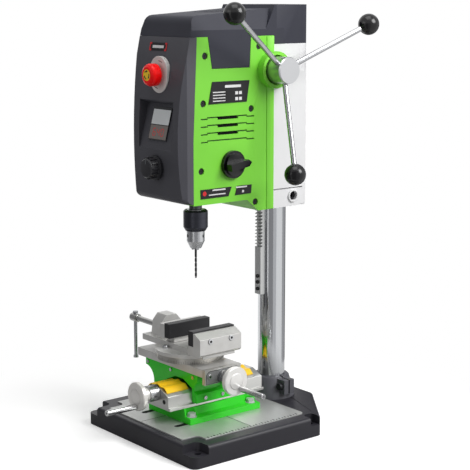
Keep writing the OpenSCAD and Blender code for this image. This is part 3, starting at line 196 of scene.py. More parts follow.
def paintedMetal(name, colour, shade, roughness, peelMm, peelDepth, coat=0.0, sheen=0.5):
    # sprayed enamel or powder coat: orange peel, and dust settled into the paint
    material, tree, shader = newMaterial(name, {"IOR": 1.5, "Coat Weight": coat, "Coat Roughness": 0.08,
                                                "Specular IOR Level": sheen})
    place = addNode(tree, "ShaderNodeTexCoord").outputs["Object"]
    peel = addNode(tree, "ShaderNodeTexNoise", {"Scale": 1 / (peelMm * mm), "Detail": 2.0},
                   {"Vector": place})
    speck = addNode(tree, "ShaderNodeTexVoronoi", {"Scale": 1 / (0.7 * mm)}, {"Vector": place})
    drift = addNode(tree, "ShaderNodeTexNoise", {"Scale": 1 / (40 * mm), "Detail": 3.0}, {"Vector": place})
    dress(tree, shader, (colour, shade), drift.outputs["Fac"], (roughness - 0.06, roughness + 0.08),
          speck.outputs["Distance"], peel.outputs["Fac"], peelDepth, 0.15)
    return material


def brushedMetal(name, colour, shade, roughness, along, lineMm, runMm, depth, metallic=1.0):
    # ground or brushed metal: long streaks along one axis, lineMm across and runMm long
    material, tree, shader = newMaterial(name, {"Metallic": metallic})
    place = addNode(tree, "ShaderNodeTexCoord").outputs["Object"]
    stretch = [1 / ((runMm if k == along else lineMm) * mm) for k in range(3)]
    turned = addNode(tree, "ShaderNodeMapping", {"Scale": stretch}, {"Vector": place})
    streak = addNode(tree, "ShaderNodeTexNoise", {"Scale": 1.0, "Detail": 4.0, "Roughness": 0.7},
                     {"Vector": turned.outputs["Vector"]})
    dress(tree, shader, (colour, shade), streak.outputs["Fac"], (roughness - 0.07, roughness + 0.09),
          streak.outputs["Fac"], streak.outputs["Fac"], depth, 0.05)
    return material


def turnedMetal(name, colour, shade, roughness, centre, along, lineMm, depth, metallic=1.0):
    # lathe-turned metal: fine rings about the axis, from the radius and the place along it
    material, tree, shader = newMaterial(name, {"Metallic": metallic})
    place = addNode(tree, "ShaderNodeTexCoord").outputs["Object"]
    centred = addNode(tree, "ShaderNodeVectorMath", {"operation": "SUBTRACT", 1: tuple(centre)}, {0: place})
    axis = tuple(1.0 if k == along else 0.0 for k in range(3))
    across = tuple(0.0 if k == along else 1.0 for k in range(3))
    flat = addNode(tree, "ShaderNodeVectorMath", {"operation": "MULTIPLY", 1: across},
                   {0: centred.outputs["Vector"]})
    radius = addNode(tree, "ShaderNodeVectorMath", {"operation": "LENGTH"}, {0: flat.outputs["Vector"]})
    way = addNode(tree, "ShaderNodeVectorMath", {"operation": "DOT_PRODUCT", 1: axis},
                  {0: centred.outputs["Vector"]})
    both = addNode(tree, "ShaderNodeCombineXYZ", None,
                   {"X": radius.outputs["Value"], "Y": way.outputs["Value"]})
    line = addNode(tree, "ShaderNodeTexNoise", {"Scale": 1 / (lineMm * mm), "Detail": 3.0},
                   {"Vector": both.outputs["Vector"]})
    dress(tree, shader, (colour, shade), line.outputs["Fac"], (roughness - 0.06, roughness + 0.08),
          line.outputs["Fac"], line.outputs["Fac"], depth, 0.05)
    return material


def castMetal(name, colour, shade, roughness, grainMm, depth, metallic):
    # shot-blasted or ground casting: open grain with darker pores
    material, tree, shader = newMaterial(name, {"Metallic": metallic})
    place = addNode(tree, "ShaderNodeTexCoord").outputs["Object"]
    pore = addNode(tree, "ShaderNodeTexVoronoi", {"Scale": 1 / (grainMm * mm)}, {"Vector": place})
    cloud = addNode(tree, "ShaderNodeTexNoise", {"Scale": 1 / (14 * mm), "Detail": 5.0}, {"Vector": place})
    dress(tree, shader, (colour, shade), cloud.outputs["Fac"], (roughness - 0.08, roughness + 0.1),
          cloud.outputs["Fac"], pore.outputs["Distance"], depth, 0.12)
    return material


def printedInk(name, colour, roughness):
    # screen-printed ink: slightly uneven cover over the film below
    material, tree, shader = newMaterial(name, {"IOR": 1.48})
    place = addNode(tree, "ShaderNodeTexCoord").outputs["Object"]
    cover = addNode(tree, "ShaderNodeTexNoise", {"Scale": 1 / (0.5 * mm), "Detail": 2.0}, {"Vector": place})
    tone = addNode(tree, "ShaderNodeHueSaturation", {"Color": linear(colour)})
    thin = addNode(tree, "ShaderNodeMapRange", {"To Min": 0.9, "To Max": 1.04},
                   {"Value": cover.outputs["Fac"]})
    gloss = addNode(tree, "ShaderNodeMapRange", {"To Min": roughness - 0.06, "To Max": roughness + 0.06},
                    {"Value": cover.outputs["Fac"]})
    tree.links.new(thin.outputs["Result"], tone.inputs["Value"])
    tree.links.new(tone.outputs["Color"], shader.inputs["Base Color"])
    tree.links.new(gloss.outputs["Result"], shader.inputs["Roughness"])
    return material


spindleAxis = middleOf("spindle")
feedAxis = middleOf("feed_hub")
lowerAxis = middleOf("lower_screw")
upperAxis = middleOf("upper_screw")
lowerGripAxis = middleOf("lower_grip")
upperGripAxis = middleOf("upper_grip")
viseAxis = middleOf("vise_screw")
swivelAxis = middleOf("swivel_base")

slotMaterials = {
    "base_paint": paintedMetal("charcoalPowderCoat", "#29282F", "#212026", 0.42, 0.9, 0.3, 0.0, 0.5),
    "plate_steel": brushedMetal("brushedTableSteel", "#CFD0CE", "#B6B7B5", 0.4, 0, 0.35, 45, 0.08, 0.65),
    "chrome": brushedMetal("hardChromedSteel", "#D6D8DA", "#BEC0C3", 0.11, 2, 0.6, 60, 0.03),
    "dark_steel": castMetal("blackenedSteel", "#2B2B2F", "#1F1F22", 0.42, 0.35, 0.1, 0.5),
    "bright_steel": castMetal("zincPlatedSteel", "#C7C8CA", "#A7A9AC", 0.27, 0.4, 0.06, 1.0),
    "grey_casting": paintedMetal("lightGreyEnamel", "#DFDFE0", "#D4D4D5", 0.45, 1.3, 0.2),
    "green_cover": mouldedPlastic("limeMouldedAbs", "#7BD13B", "#71C633", 0.42, 0.7, 0.12, 0.0, 0.4),
    "dark_cover": mouldedPlastic("charcoalMouldedAbs", "#31323C", "#292A33", 0.57, 0.55, 0.3, 0.0, 0.24),
    "black_plastic": mouldedPlastic("blackPhenolic", "#08080A", "#0C0C0E", 0.2, 6.0, 0.02, 0.0, 0.35),
    "label": mouldedPlastic("blackPolyesterFilm", "#0E0E10", "#141416", 0.35, 0.3, 0.05, 0.0, 0.3),
    "display": mouldedPlastic("smokedAcrylic", "#26272B", "#1F2024", 0.14, 9.0, 0.01, 0.3, 0.4),
    "pale_plastic": mouldedPlastic("paleMouldedAbs", "#D9D7D4", "#CCCAC8", 0.38, 0.6, 0.1),
    "red_plastic": mouldedPlastic("redMouldedAbs", "#FF0306", "#F40205", 0.3, 0.9, 0.05, 0.0, 0.25),
    "board": mouldedPlastic("lacquerOnGlassFibre", "#1E6B3A", "#17552D", 0.3, 1.2, 0.2, 0.3),
    "copper": brushedMetal("enamelledCopperWire", "#B5793C", "#8E5A26", 0.3, 2, 0.6, 30, 0.4),
    "vise_green": paintedMetal("greenGlossEnamel", "#34D626", "#26C21A", 0.3, 1.6, 0.14, 0.15, 0.25),
    "bed_alloy": brushedMetal("milledAluminium", "#D6D6D3", "#BFBFBC", 0.32, 1, 0.3, 25, 0.1),
    "yellow": mouldedPlastic("yellowMouldedNylon", "#FFD220", "#FAC414", 0.34, 0.8, 0.08, 0.2),
    "vise_grey": castMetal("groundGreyIron", "#D6D5D3", "#C0BFBC", 0.4, 0.55, 0.2, 0.45),
    "jaw_black": castMetal("blackOxideSteel", "#2A292C", "#202022", 0.48, 0.4, 0.15, 0.3),
    "wheel_alloy": turnedMetal("turnedWheelAlloy", "#F2F1EE", "#E4E2DF", 0.3, upperAxis, 0, 0.4, 0.12, 0.4),
}
ownMaterials = {
    # painted light: a lighter copy of the charcoal cover plastic, so the front reads brighter than its light
    # gives
    "front_panel": mouldedPlastic("paintedLightCharcoalAbs", "#4B4B52", "#434349", 0.5, 0.5, 0.3, 0.0, 0.35),
    "rack": brushedMetal("milledRackSteel", "#D2D3D2", "#B8B9B8", 0.34, 2, 0.3, 18, 0.12),
    "slide_bolts": castMetal("brightSocketScrew", "#DCDDDF", "#C4C5C7", 0.3, 0.4, 0.06, 0.5),
    "rack_screws": castMetal("blackSocketScrew", "#1C1C1F", "#121214", 0.45, 0.3, 0.1, 0.3),
    "cover_screws": castMetal("blackCoverScrew", "#0A0A0B", "#111112", 0.55, 0.3, 0.1, 0.2),
    "speed_knob": mouldedPlastic("blackKnobNylon", "#1E1E24", "#17171C", 0.36, 0.8, 0.06, 0.0, 0.5),
    "table_end": castMetal("blastedEndPlate", "#C9C8C4", "#B4B3AF", 0.38, 0.9, 0.25, 0.8),
    "column_collar": paintedMetal("satinCollarEnamel", "#56565C", "#4C4C52", 0.42, 1.1, 0.3, 0.0, 0.4),
    # painted shade: the spindle steel is darkened for the shade it stands in under the head
    "spindle": turnedMetal("paintedShadeSpindleSteel", "#6B6C70", "#4C4D51", 0.3, spindleAxis, 2, 0.4, 0.12),
    "feed_hub": turnedMetal("turnedHubSteel", "#D4D5D7", "#B4B5B7", 0.3, feedAxis, 0, 0.5, 0.2),
    "feed_spokes": castMetal("drawnSpokeSteel", "#C0C1C3", "#ABACAE", 0.24, 0.5, 0.05, 1.0),
    "lower_handwheel": turnedMetal("turnedLowerWheelAlloy",
                                   "#E6E4E0", "#D4D2CD", 0.33, lowerAxis, 1, 0.4, 0.14, 0.45),
    "lower_screw": turnedMetal("turnedLowerScrewSteel",
                               "#D3D4D6", "#B0B2B5", 0.22, lowerAxis, 1, 0.35, 0.15),
    "lower_grip": turnedMetal("turnedLowerGripSteel",
                              "#D8D8D8", "#B9BABB", 0.2, lowerGripAxis, 1, 0.4, 0.1),
    "upper_screw": turnedMetal("turnedUpperScrewSteel",
                               "#B9BABC", "#97999C", 0.26, upperAxis, 0, 0.35, 0.15),
    "upper_grip": turnedMetal("turnedUpperGripSteel",
                              "#C8C8C8", "#A2A3A4", 0.2, upperGripAxis, 0, 0.4, 0.1),
    "vise_screw": turnedMetal("turnedViseScrewSteel", "#C4C4C2", "#A3A3A1", 0.28, viseAxis, 0, 0.5, 0.2),
    "chuck_body": turnedMetal("turnedChuckSteel", "#DCDDDF", "#B6B8BA", 0.26, spindleAxis, 2, 0.4, 0.12),
    "chuck_sleeve": turnedMetal("blackenedChuckSleeve",
                                "#53545C", "#3C3D44", 0.36, spindleAxis, 2, 0.5, 0.15),
    "swivel_base": turnedMetal("turnedSwivelIron", "#BFBDB7", "#A19F99", 0.34, swivelAxis, 2, 0.5, 0.12),
}
slotOfMaterial = {material.name: slot for slot, material in slotMaterials.items()}
slotOfMaterial.update({material.name: slotOfNode[node] for node, material in ownMaterials.items()})
for name, node in nodes.items():
    node.data.materials.clear()
    node.data.materials.append(ownMaterials.get(name, slotMaterials[slotOfNode[name]]))
print("materials set:", len(slotMaterials) + len(ownMaterials))


# moulded and cast nodes get real rounded edges: a merged copy with a bevel stands for each

edgeRadius = {
    "base_casting": 0.8, "column_collar": 1.2, "head_casting": 1.2, "right_cover": 0.8, "left_cover": 0.8,
    "front_panel": 0.9, "top_cover": 0.9, "slide_base": 1.2, "saddle": 0.9, "lower_bed": 0.6,
    "upper_table": 0.5, "table_end": 0.6, "vise_body": 0.9, "movable_jaw": 0.8, "fixed_jaw_plate": 0.5,
    "movable_jaw_plate": 0.6, "selector_knob": 0.7, "speed_knob": 0.35, "slide_bolts": 0.3,
    "table_plate": 0.3, "estop_plate": 0.6, "collar_screw": 0.5, "label_plates": 0.15,
}
# wider rounding of a rim: its radius, its end (1 top, -1 bottom) and how far back its faces may look
rimDetail = {
    "base_casting": {"radiusMm": 4.0, "end": 1, "normalYBelow": 2.0},
    "front_panel": {"radiusMm": 8.0, "end": -1, "normalYBelow": -0.15},
}


rimLimits = {"levelMm": 0.05, "beyondMm": 0.3, "lean": 0.3}
bevelDetail = {"mergeMm": 0.002, "flatDegrees": 0.4, "smoothDegrees": 32, "turnDegrees": 35,
               "rimSegments": 4, "edgeSegments": 2}


def weighRim(work, rim):
    # bevel weight on the end's edges of the outside: no point lies beyond the plane of their upright face
    weight = work.edges.layers.float.new("bevel_weight_edge")
    places = np.array([v.co for v in work.verts])
    last = (places[:, 2] * rim["end"]).max()
    for edge in work.edges:
        if min(v.co.z * rim["end"] for v in edge.verts) < last - rimLimits["levelMm"] * mm:
            continue
        for face in edge.link_faces:
            beyond = ((places - np.array(edge.verts[0].co)) @ np.array(face.normal)).max()
            upright = abs(face.normal.z) < rimLimits["lean"] and face.normal.y < rim["normalYBelow"]
            if upright and beyond < rimLimits["beyondMm"] * mm:
                edge[weight] = 1.0


def roundEdges(name, radiusMm):
    # copy of a node with doubles merged and flat faces joined, bevelled where its surface turns sharply
    work = bmesh.new()
    work.from_mesh(nodes[name].data)
    bmesh.ops.remove_doubles(work, verts=work.verts, dist=bevelDetail["mergeMm"] * mm)
    bmesh.ops.dissolve_limit(work, angle_limit=math.radians(bevelDetail["flatDegrees"]),
                             verts=work.verts, edges=work.edges)
    if name in rimDetail:
        weighRim(work, rimDetail[name])
    mesh = bpy.data.meshes.new(name + "Rounded")
    work.to_mesh(mesh)
    work.free()
    mesh.polygons.foreach_set("use_smooth", [True] * len(mesh.polygons))
    mesh.set_sharp_from_angle(angle=math.radians(bevelDetail["smoothDegrees"]))
    mesh.materials.append(nodes[name].data.materials[0])
    piece = bpy.data.objects.new(name + "Rounded", mesh)
    bpy.context.scene.collection.objects.link(piece)
    if name in rimDetail:
        rim = piece.modifiers.new("rim", "BEVEL")
        rim.width = rimDetail[name]["radiusMm"] * mm
        rim.segments = bevelDetail["rimSegments"]
        rim.limit_method = "WEIGHT"
        rim.use_clamp_overlap = False
        rim.harden_normals = True
    edge = piece.modifiers.new("edge", "BEVEL")
    edge.width = radiusMm * mm
    edge.segments = bevelDetail["edgeSegments"]
    edge.limit_method = "ANGLE"
    edge.angle_limit = math.radians(bevelDetail["turnDegrees"])
    edge.harden_normals = True
    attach(piece, bodyOfNode[name])
    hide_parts(name)
    return piece


for name, radiusMm in edgeRadius.items():
    roundEdges(name, radiusMm)
print("rounded copies:", len(edgeRadius))


# fine details on the nodes: inks, ticks, screws and the cutting tool, and painted shade in the vents, the
# plate's slots and the screws' sockets

whiteInk = printedInk("whiteScreenInk", "#D8D8D8", 0.5)
redInk = printedInk("redScreenInk", "#C8141B", 0.5)
# black ink for print and engraving, also used as painted shade in the screws' sockets
darkInkAndSocketShade = printedInk("blackInkAndSocketShade", "#121214", 0.55)
yellowInk = printedInk("yellowScreenInk", "#F6CE1E", 0.45)
darkGreyInk = printedInk("greyPointerInk", "#6E7175", 0.5)
darkFilm = slotMaterials["label"]
socketBlack = ownMaterials["rack_screws"]
steelScrew = slotMaterials["bright_steel"]
wallLiftMm = 0.06


def wall(rows, place):
    # flat bars on a wall: rows of (centre1, centre2, half1, half2) put in the frame by place
    rows = np.asarray(rows, float) * mm
    origin = place(0.0, 0.0)
    first = place(1.0, 0.0) - origin
    second = place(0.0, 1.0) - origin
    centres = origin + rows[:, 0, None] * first + rows[:, 1, None] * second
    out = np.cross(first, second) * wallLiftMm * mm
    return tiles(centres, rows[:, 2, None] * first, rows[:, 3, None] * second, out)


# the drill: a rod with two helical flutes and a cone point; radius falls where cos(2(angle - twist)) is high
drillDetail = {"pitchMm": 13.0, "depth": 0.45, "fluteMm": 33.0, "fadeMm": 3.0, "land": 0.1, "hollow": 0.6,
               "pointMm": 1.0, "rows": 181, "columns": 48}
low, high = boxOf("drill_bit")
along = np.linspace(0, 1, drillDetail["rows"])[:, None] * (high[2] - low[2])
angle = np.linspace(0, 2 * np.pi, drillDetail["columns"], endpoint=False)[None, :]
wave = np.cos(2 * (angle - 2 * np.pi * along / (drillDetail["pitchMm"] * mm)))
fluted = np.clip((drillDetail["fluteMm"] * mm - along) / (drillDetail["fadeMm"] * mm), 0, 1)
hollow = np.clip((wave + drillDetail["land"]) / (1 + drillDetail["land"]), 0, 1) ** drillDetail["hollow"]
ground = 1 - drillDetail["depth"] * fluted * hollow
cone = np.clip(along / (drillDetail["pointMm"] * mm), 0, 1)
cone[-1] = 0
radius = (high[0] - low[0]) / 2 * ground * cone
middle = (low + high) / 2
points = np.stack([middle[0] + radius * np.cos(angle), middle[1] + radius * np.sin(angle),
                   low[2] + np.broadcast_to(along, radius.shape)], -1)
drillSteel = castMetal("blackenedDrillSteel", "#2A2A2D", "#1B1B1D", 0.34, 0.3, 0.05, 0.6)
drill = addPiece("twistDrill", points, gridFaces(*radius.shape, closeColumns=True), drillSteel,
                 "spindle_unit", True, slotOfNode["drill_bit"])
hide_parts("drill_bit")

# stop button: yellow disc and three turning arrows on it, each a band round the middle that ends in a head
stopDetail = {"discMm": 7.2, "sunkMm": 0.4, "liftMm": 0.12, "arrowMm": 4.9, "starts": (20, 140, 260),
              "sweep": 78, "half": 0.75, "head": 0.4, "headWide": 2.3,
              "arrowLifts": (0.05, 0.17, 0.17, 0.05), "steps": 25}
low, high = boxOf("estop_button")
face = np.array([(low[0] + high[0]) / 2, low[1], (low[2] + high[2]) / 2])
discProfile = np.array([(0, -stopDetail["sunkMm"]), (stopDetail["discMm"], -stopDetail["sunkMm"]),
                        (stopDetail["discMm"], stopDetail["liftMm"]), (0, stopDetail["liftMm"])]) * mm
addPiece("stopDisc", *lathe(discProfile, face, (0, -1, 0)), yellowInk, "stop_button")
share = np.linspace(0, 1, stopDetail["steps"])[None, :, None]
headShare = stopDetail["headWide"] * (1 - share) / stopDetail["head"]
half = stopDetail["half"] * np.where(share < 1 - stopDetail["head"], 1.0, headShare)
turn = np.radians(np.array(stopDetail["starts"])[:, None, None] - stopDetail["sweep"] * share)
radius = (stopDetail["arrowMm"] + half * np.array([-1, -1, 1, 1]) + 0 * turn) * mm
depth = np.broadcast_to(np.array(stopDetail["arrowLifts"]) * mm, radius.shape)
sections = np.stack([face[0] + radius * np.cos(turn), face[1] - depth, face[2] + radius * np.sin(turn)], -1)
addPiece("stopArrows", *strips(sections), darkInkAndSocketShade, "stop_button")

# stop plate: two dark index arcs beside the button
markDetail = {"starts": (62, 238), "sweep": 26, "radii": (17.0, 17.0, 17.9, 17.9),
              "lifts": (-0.1, 0.07, 0.07, -0.1)}
low, high = boxOf("estop_plate")
turn = np.radians(np.array(markDetail["starts"])[:, None, None] + markDetail["sweep"] * share)
radius = (np.array(markDetail["radii"]) + 0 * turn) * mm
depth = np.broadcast_to(np.array(markDetail["lifts"]) * mm, radius.shape)
sections = np.stack([face[0] + radius * np.cos(turn), low[1] - depth, face[2] + radius * np.sin(turn)], -1)
addPiece("stopMarks", *strips(sections), darkInkAndSocketShade, "head")

# badge on the bulged front: y of the panel is a circle of the CAD's radius about its widest height
badgeDetail = {"frontY": -106.0, "bulgeMm": 560.0, "bulgeZ": 400.0, "sunkMm": 0.1}


def onFront(rows):
    # thin shells on the bulged front: rows of (x0, x1, z0, z1, lift), 2 x 5 points in front and behind
    shells = []
    faces = []
    for x0, x1, z0, z1, lift in rows:
        x, z = np.meshgrid([x0, x1], np.linspace(z0, z1, 5), indexing="ij")
        drop = np.sqrt(badgeDetail["bulgeMm"] ** 2 - (z - badgeDetail["bulgeZ"]) ** 2)
        y = badgeDetail["frontY"] + badgeDetail["bulgeMm"] - drop
        ring = np.stack([np.stack([x, y - lift, z], -1), np.stack([x, y + badgeDetail["sunkMm"], z], -1)])
        faces.append(np.concatenate([gridFaces(2, 5), gridFaces(2, 5)[:, ::-1] + 10,
                                     [(0, 10, 11, 1), (1, 11, 12, 2), (2, 12, 13, 3), (3, 13, 14, 4),
                                      (5, 6, 16, 15), (6, 7, 17, 16), (7, 8, 18, 17), (8, 9, 19, 18),
                                      (0, 5, 15, 10), (4, 14, 19, 9)]]) + 20 * len(shells))
        shells.append(ring.reshape(-1, 3) * mm)
    return np.concatenate(shells), np.concatenate(faces)


points, faces = onFront([(-27.5, 9.5, 514.0, 524.3, 0.3)])
addPiece("frontBadge", points, faces, darkFilm, "head")
points, faces = onFront([(-27.5, -23.2, 514.0, 516.0, 0.4), (-27.5, -25.6, 516.0, 522.3, 0.4),
                         (-27.5, -23.2, 522.3, 524.3, 0.4), (5.2, 9.5, 514.0, 516.0, 0.4),
                         (7.6, 9.5, 516.0, 522.3, 0.4), (5.2, 9.5, 522.3, 524.3, 0.4)])
addPiece("badgeEnds", points, faces, redInk, "head")
points, faces = onFront([(-21.0, 3.0, 517.4, 520.9, 0.36)])
addPiece("badgeBar", points, faces, whiteInk, "head")

# display: a pale panel over a dark one with red seven-segment figures, on the module's tilted face
displayDetail = {"upper": (0.0, 8.6, 18.5, 9.7), "lower": (0.0, -11.2, 18.5, 9.0), "figure": (5.2, 9.4),
                 "bar": 0.95, "digitLift": 0.07, "digits": ((-8.6, "acdefg"), (0.0, "bcfg"), (8.6, "abcdef"))}
corners = np.array([v.co for v in nodes["display_module"].data.vertices])
side = corners[corners[:, 0] < corners[:, 0].mean()][:, 1:]
spread = np.linalg.eigh(np.cov(side.T))[1][:, 1]
spread = spread * np.sign(spread[1])
upWay = np.array([0.0, spread[0], spread[1]])
outWay = np.cross((1.0, 0.0, 0.0), upWay)
glass = corners.mean(0) + outWay * ((corners - corners.mean(0)) @ outWay).max()


def onGlass(lift):
    return lambda a, b: glass + outWay * lift * mm + np.array([1.0, 0.0, 0.0]) * a + upWay * b


points, faces = wall([displayDetail["upper"]], onGlass(0.0))
paleCrystal = mouldedPlastic("paleLiquidCrystal", "#B4B8BA", "#A9ADB0", 0.22, 5.0, 0.01)
redFilter = mouldedPlastic("redFilterAcrylic", "#6B5F5A", "#62564F", 0.2, 5.0, 0.01)
for material, backlight in ((paleCrystal, 0.16), (redFilter, 0.05)):
    shader = material.node_tree.nodes["Principled BSDF"]
    shader.inputs["Emission Color"].default_value = linear("#D8DADA")
    shader.inputs["Emission Strength"].default_value = backlight
addPiece("displayGraph", points, faces, paleCrystal, "head", slot="display")
points, faces = wall([displayDetail["lower"]], onGlass(0.0))
addPiece("displayFigures", points, faces, redFilter, "head", slot="display")
w, h = displayDetail["figure"]
t = displayDetail["bar"]
lying = (w / 2 - t / 2, t / 2)
standing = (t / 2, h / 4 - t / 2)
segments = {"a": (0, h / 2, *lying), "g": (0, 0, *lying), "d": (0, -h / 2, *lying),
            "b": (w / 2, h / 4, *standing), "c": (w / 2, -h / 4, *standing),
            "f": (-w / 2, h / 4, *standing), "e": (-w / 2, -h / 4, *standing)}
lowerMiddle = displayDetail["lower"][1]
rows = [(segments[key][0] + offset, segments[key][1] + lowerMiddle, *segments[key][2:])
        for offset, keys in displayDetail["digits"] for key in keys]
points, faces = wall(rows, onGlass(displayDetail["digitLift"]))
ledRed = newMaterial("litRedDiode", {"Base Color": linear("#9C2222"), "Emission Color": linear("#C02A22"),
                                     "Emission Strength": 0.3})[0]
addPiece("displayDigits", points, faces, ledRed, "head", slot="display")

# label plates: plain bars where the printing sits
labelX = boxOf("label_plates")[1][0]


def onLabel(a, b):
    return np.array([labelX, a, b])


points, faces = wall([(-22.5, 469.4, 13.0, 1.7), (-45.0, 462.6, 10.0, 0.6), (-45.0, 458.9, 10.0, 0.6),
                      (-45.0, 455.2, 10.0, 0.6), (-45.0, 451.5, 10.0, 0.6), (-16.5, 460.6, 2.3, 2.0),
                      (-10.3, 460.6, 2.3, 2.0), (-16.5, 453.2, 2.3, 2.0), (-10.3, 453.2, 2.3, 2.0),
                      (-45.5, 338.0, 10.5, 0.9), (-48.5, 332.2, 13.5, 0.7), (-8.4, 338.2, 9.2, 0.9),
                      (-5.8, 332.4, 1.6, 1.6)], onLabel)
addPiece("labelBars", points, faces, whiteInk, "head")
spotDetail = {"profile": [(0, -0.05), (3.1, -0.05), (3.0, 0.06), (0, 0.06)], "place": (-69.0, 334.6),
              "steps": 40}
spotAt = onLabel(*(np.array(spotDetail["place"]) * mm))
points, faces = lathe(np.array(spotDetail["profile"]) * mm, spotAt, (1, 0, 0), spotDetail["steps"])
addPiece("labelSpot", points, faces, redInk, "head")

# vents: painted shade at the bottom of the grooves on both covers, and a black sheet behind the slots as
# painted shade in the openings
ventDetail = {"slotY": (-47.0, -13.5), "slotZ": 408.0, "slotHeight": 4.2, "pitch": 9.8, "grooveX": 52.1,
              "grooveHeight": 1.7, "step": 1.6, "wallX": 51.5, "lowest": (-22.75, 41.0), "near": (17, 15),
              "far": (27, 16, 14, 27), "endGap": 0.1, "topGap": 0.05, "shadeSheetZ": 420.0,
              "shadeSheetHalf": (0.4, 19.0, 15.0)}
y0, y1 = ventDetail["slotY"]
topZ = ventDetail["slotZ"] + ventDetail["slotHeight"] + ventDetail["pitch"] * np.arange(-1, 3)
half = ventDetail["grooveHeight"] / 2
shadeHalf = half - ventDetail["topGap"]
near, far = ventDetail["near"], ventDetail["far"]
rows = [(ventDetail["lowest"][0], topZ[0] - half, ventDetail["lowest"][1], shadeHalf)]
rows += [((a + b) / 2, z - half, (b - a) / 2 - ventDetail["endGap"], shadeHalf)
         for z in topZ[1:] for a, b in ((y0 - near[0], y0), (y1, y1 + near[1]))]
rows += [((a + b) / 2, z - half - ventDetail["step"], (b - a) / 2 - ventDetail["endGap"], shadeHalf)
         for z in topZ for a, b in ((y0 - far[0], y0 - far[1]), (y1 + far[2], y1 + far[3]))]
shadeSheetSizes = np.diag(ventDetail["shadeSheetHalf"]) * mm
shadeSheetX = ventDetail["wallX"] - ventDetail["shadeSheetHalf"][0]
# painted shade: dark green bars that darken the groove bottoms, where shade falls
grooveShadePaint = printedInk("paintedGrooveShadeGreen", "#173F0A", 0.6)
# painted shade: a black sheet behind the open slots, standing where the inside of the cover is in shade
shadeSheetMaterial = mouldedPlastic("paintedVentShadeSheet", "#0B0B0C", "#121213", 0.8, 1.5, 0.6, 0.0, 0.1)
for sideName, sign in (("right", 1.0), ("left", -1.0)):
    points, faces = wall(rows, lambda a, b: np.array([sign * ventDetail["grooveX"] * mm, a, b]))
    addPiece(sideName + "VentShade", points, faces, grooveShadePaint, "head", slot="green_cover")
    shadeSheetAt = np.array([sign * shadeSheetX, (y0 + y1) / 2, ventDetail["shadeSheetZ"]]) * mm
    points, faces = tiles(shadeSheetAt, *shadeSheetSizes)
    addPiece(sideName + "VentShadeSheet", points, faces, shadeSheetMaterial, "head", slot="black_plastic")

# raised boss round the lock screw's hole in the casting
ringProfile = np.array([(6.2, -0.1), (6.2, 1.8), (6.7, 2.4), (8.0, 2.4), (8.6, 1.8), (8.6, -0.1),
                        (6.2, -0.1)]) * mm
lockAt = middleOf("head_lock_screw")
lockAt[0] = boxOf("head_casting")[1][0]
addPiece("lockRing", *lathe(ringProfile, lockAt, (1, 0, 0)), slotMaterials["grey_casting"], "head")

# pointer on the speed knob's face
low, high = boxOf("speed_knob")
knob = (low + high) / 2
pointerBar = (0.0, 9.5, 0.55, 4.0)
points, faces = wall([pointerBar], lambda a, b: np.array([knob[0] + a, low[1], knob[2] + b]))
addPiece("speedPointer", points, faces, darkGreyInk, "speed_dial")

# rule printed along the plate's right edge: every second tick longer
ruleDetail = {"fromY": -98.0, "toY": 52.0, "stepMm": 5.0, "short": 2.6, "long": 4.2, "halfWidth": 1.0,
              "edgeMm": 0.5, "halfLift": 0.05}
plateTop = boxOf("table_plate")[1][2]
plateRight = boxOf("table_plate")[1][0]
ticks = np.arange(ruleDetail["fromY"], ruleDetail["toY"] + 0.1, ruleDetail["stepMm"]) * mm
halfMm = np.where(np.arange(len(ticks)) % 2 == 0, ruleDetail["long"], ruleDetail["short"]) / 2
tickX = plateRight - (halfMm + ruleDetail["edgeMm"]) * mm
centres = np.stack([tickX, ticks, np.full(len(ticks), plateTop)], -1)
points, faces = tiles(centres, np.outer(halfMm, (1, 0, 0)) * mm,
                      np.array([0, ruleDetail["halfWidth"], 0]) * mm,
                      np.array([0, 0, ruleDetail["halfLift"]]) * mm)
addPiece("plateRule", points, faces, darkInkAndSocketShade, "frame")

# painted shade in the open ends of the plate's bolt slots: a black strip with a half-round front, under the
# top, where the deep slot falls in shade
slotDetail = {"x": 37.0, "roundY": -102.0, "backY": -86.0, "radius": 4.2, "under": 0.3, "thick": 0.5,
              "steps": 19}
slotShadeFill = mouldedPlastic("paintedBoltSlotShade", "#0C0C0D", "#141415", 0.7, 1.2, 0.3, 0.0, 0.15)
turn = np.radians(np.linspace(180, 360, slotDetail["steps"]))
outline = np.stack([np.cos(turn), np.sin(turn)], -1) * slotDetail["radius"] + (0, slotDetail["roundY"])
backEnd = [(sign * slotDetail["radius"], slotDetail["backY"]) for sign in (1, -1)]
outline = np.concatenate([outline, backEnd])
slotCentre = np.array([0.0, (slotDetail["roundY"] + slotDetail["backY"]) / 2])
slotTop = plateTop / mm - slotDetail["under"]
slotBottom = slotTop - slotDetail["thick"]
for slotName, x in (("rightBoltSlotShade", slotDetail["x"]), ("leftBoltSlotShade", -slotDetail["x"])):
    rings = [np.column_stack([slotCentre + (outline - slotCentre) * grow + (x, 0), np.full(len(outline), z)])
             for grow, z in ((0, slotBottom), (1, slotBottom), (1, slotTop), (0, slotTop))]
    addPiece(slotName, np.stack(rings) * mm, gridFaces(4, len(outline), closeColumns=True), slotShadeFill,
             "frame", slot="black_plastic")

# black filling in the plate's engraved centre lines, as (x, y, half length along x, half length along y)
lineDetail = {"rows": [(73.0, -27.05, 26.0, 0.43), (-8.0, -108.0, 0.43, 20.0)], "sunkMm": 0.08}
points, faces = wall(lineDetail["rows"], lambda a, b: np.array([a, b, plateTop - lineDetail["sunkMm"] * mm]))
addPiece("plateLines", points, faces, darkInkAndSocketShade, "frame")

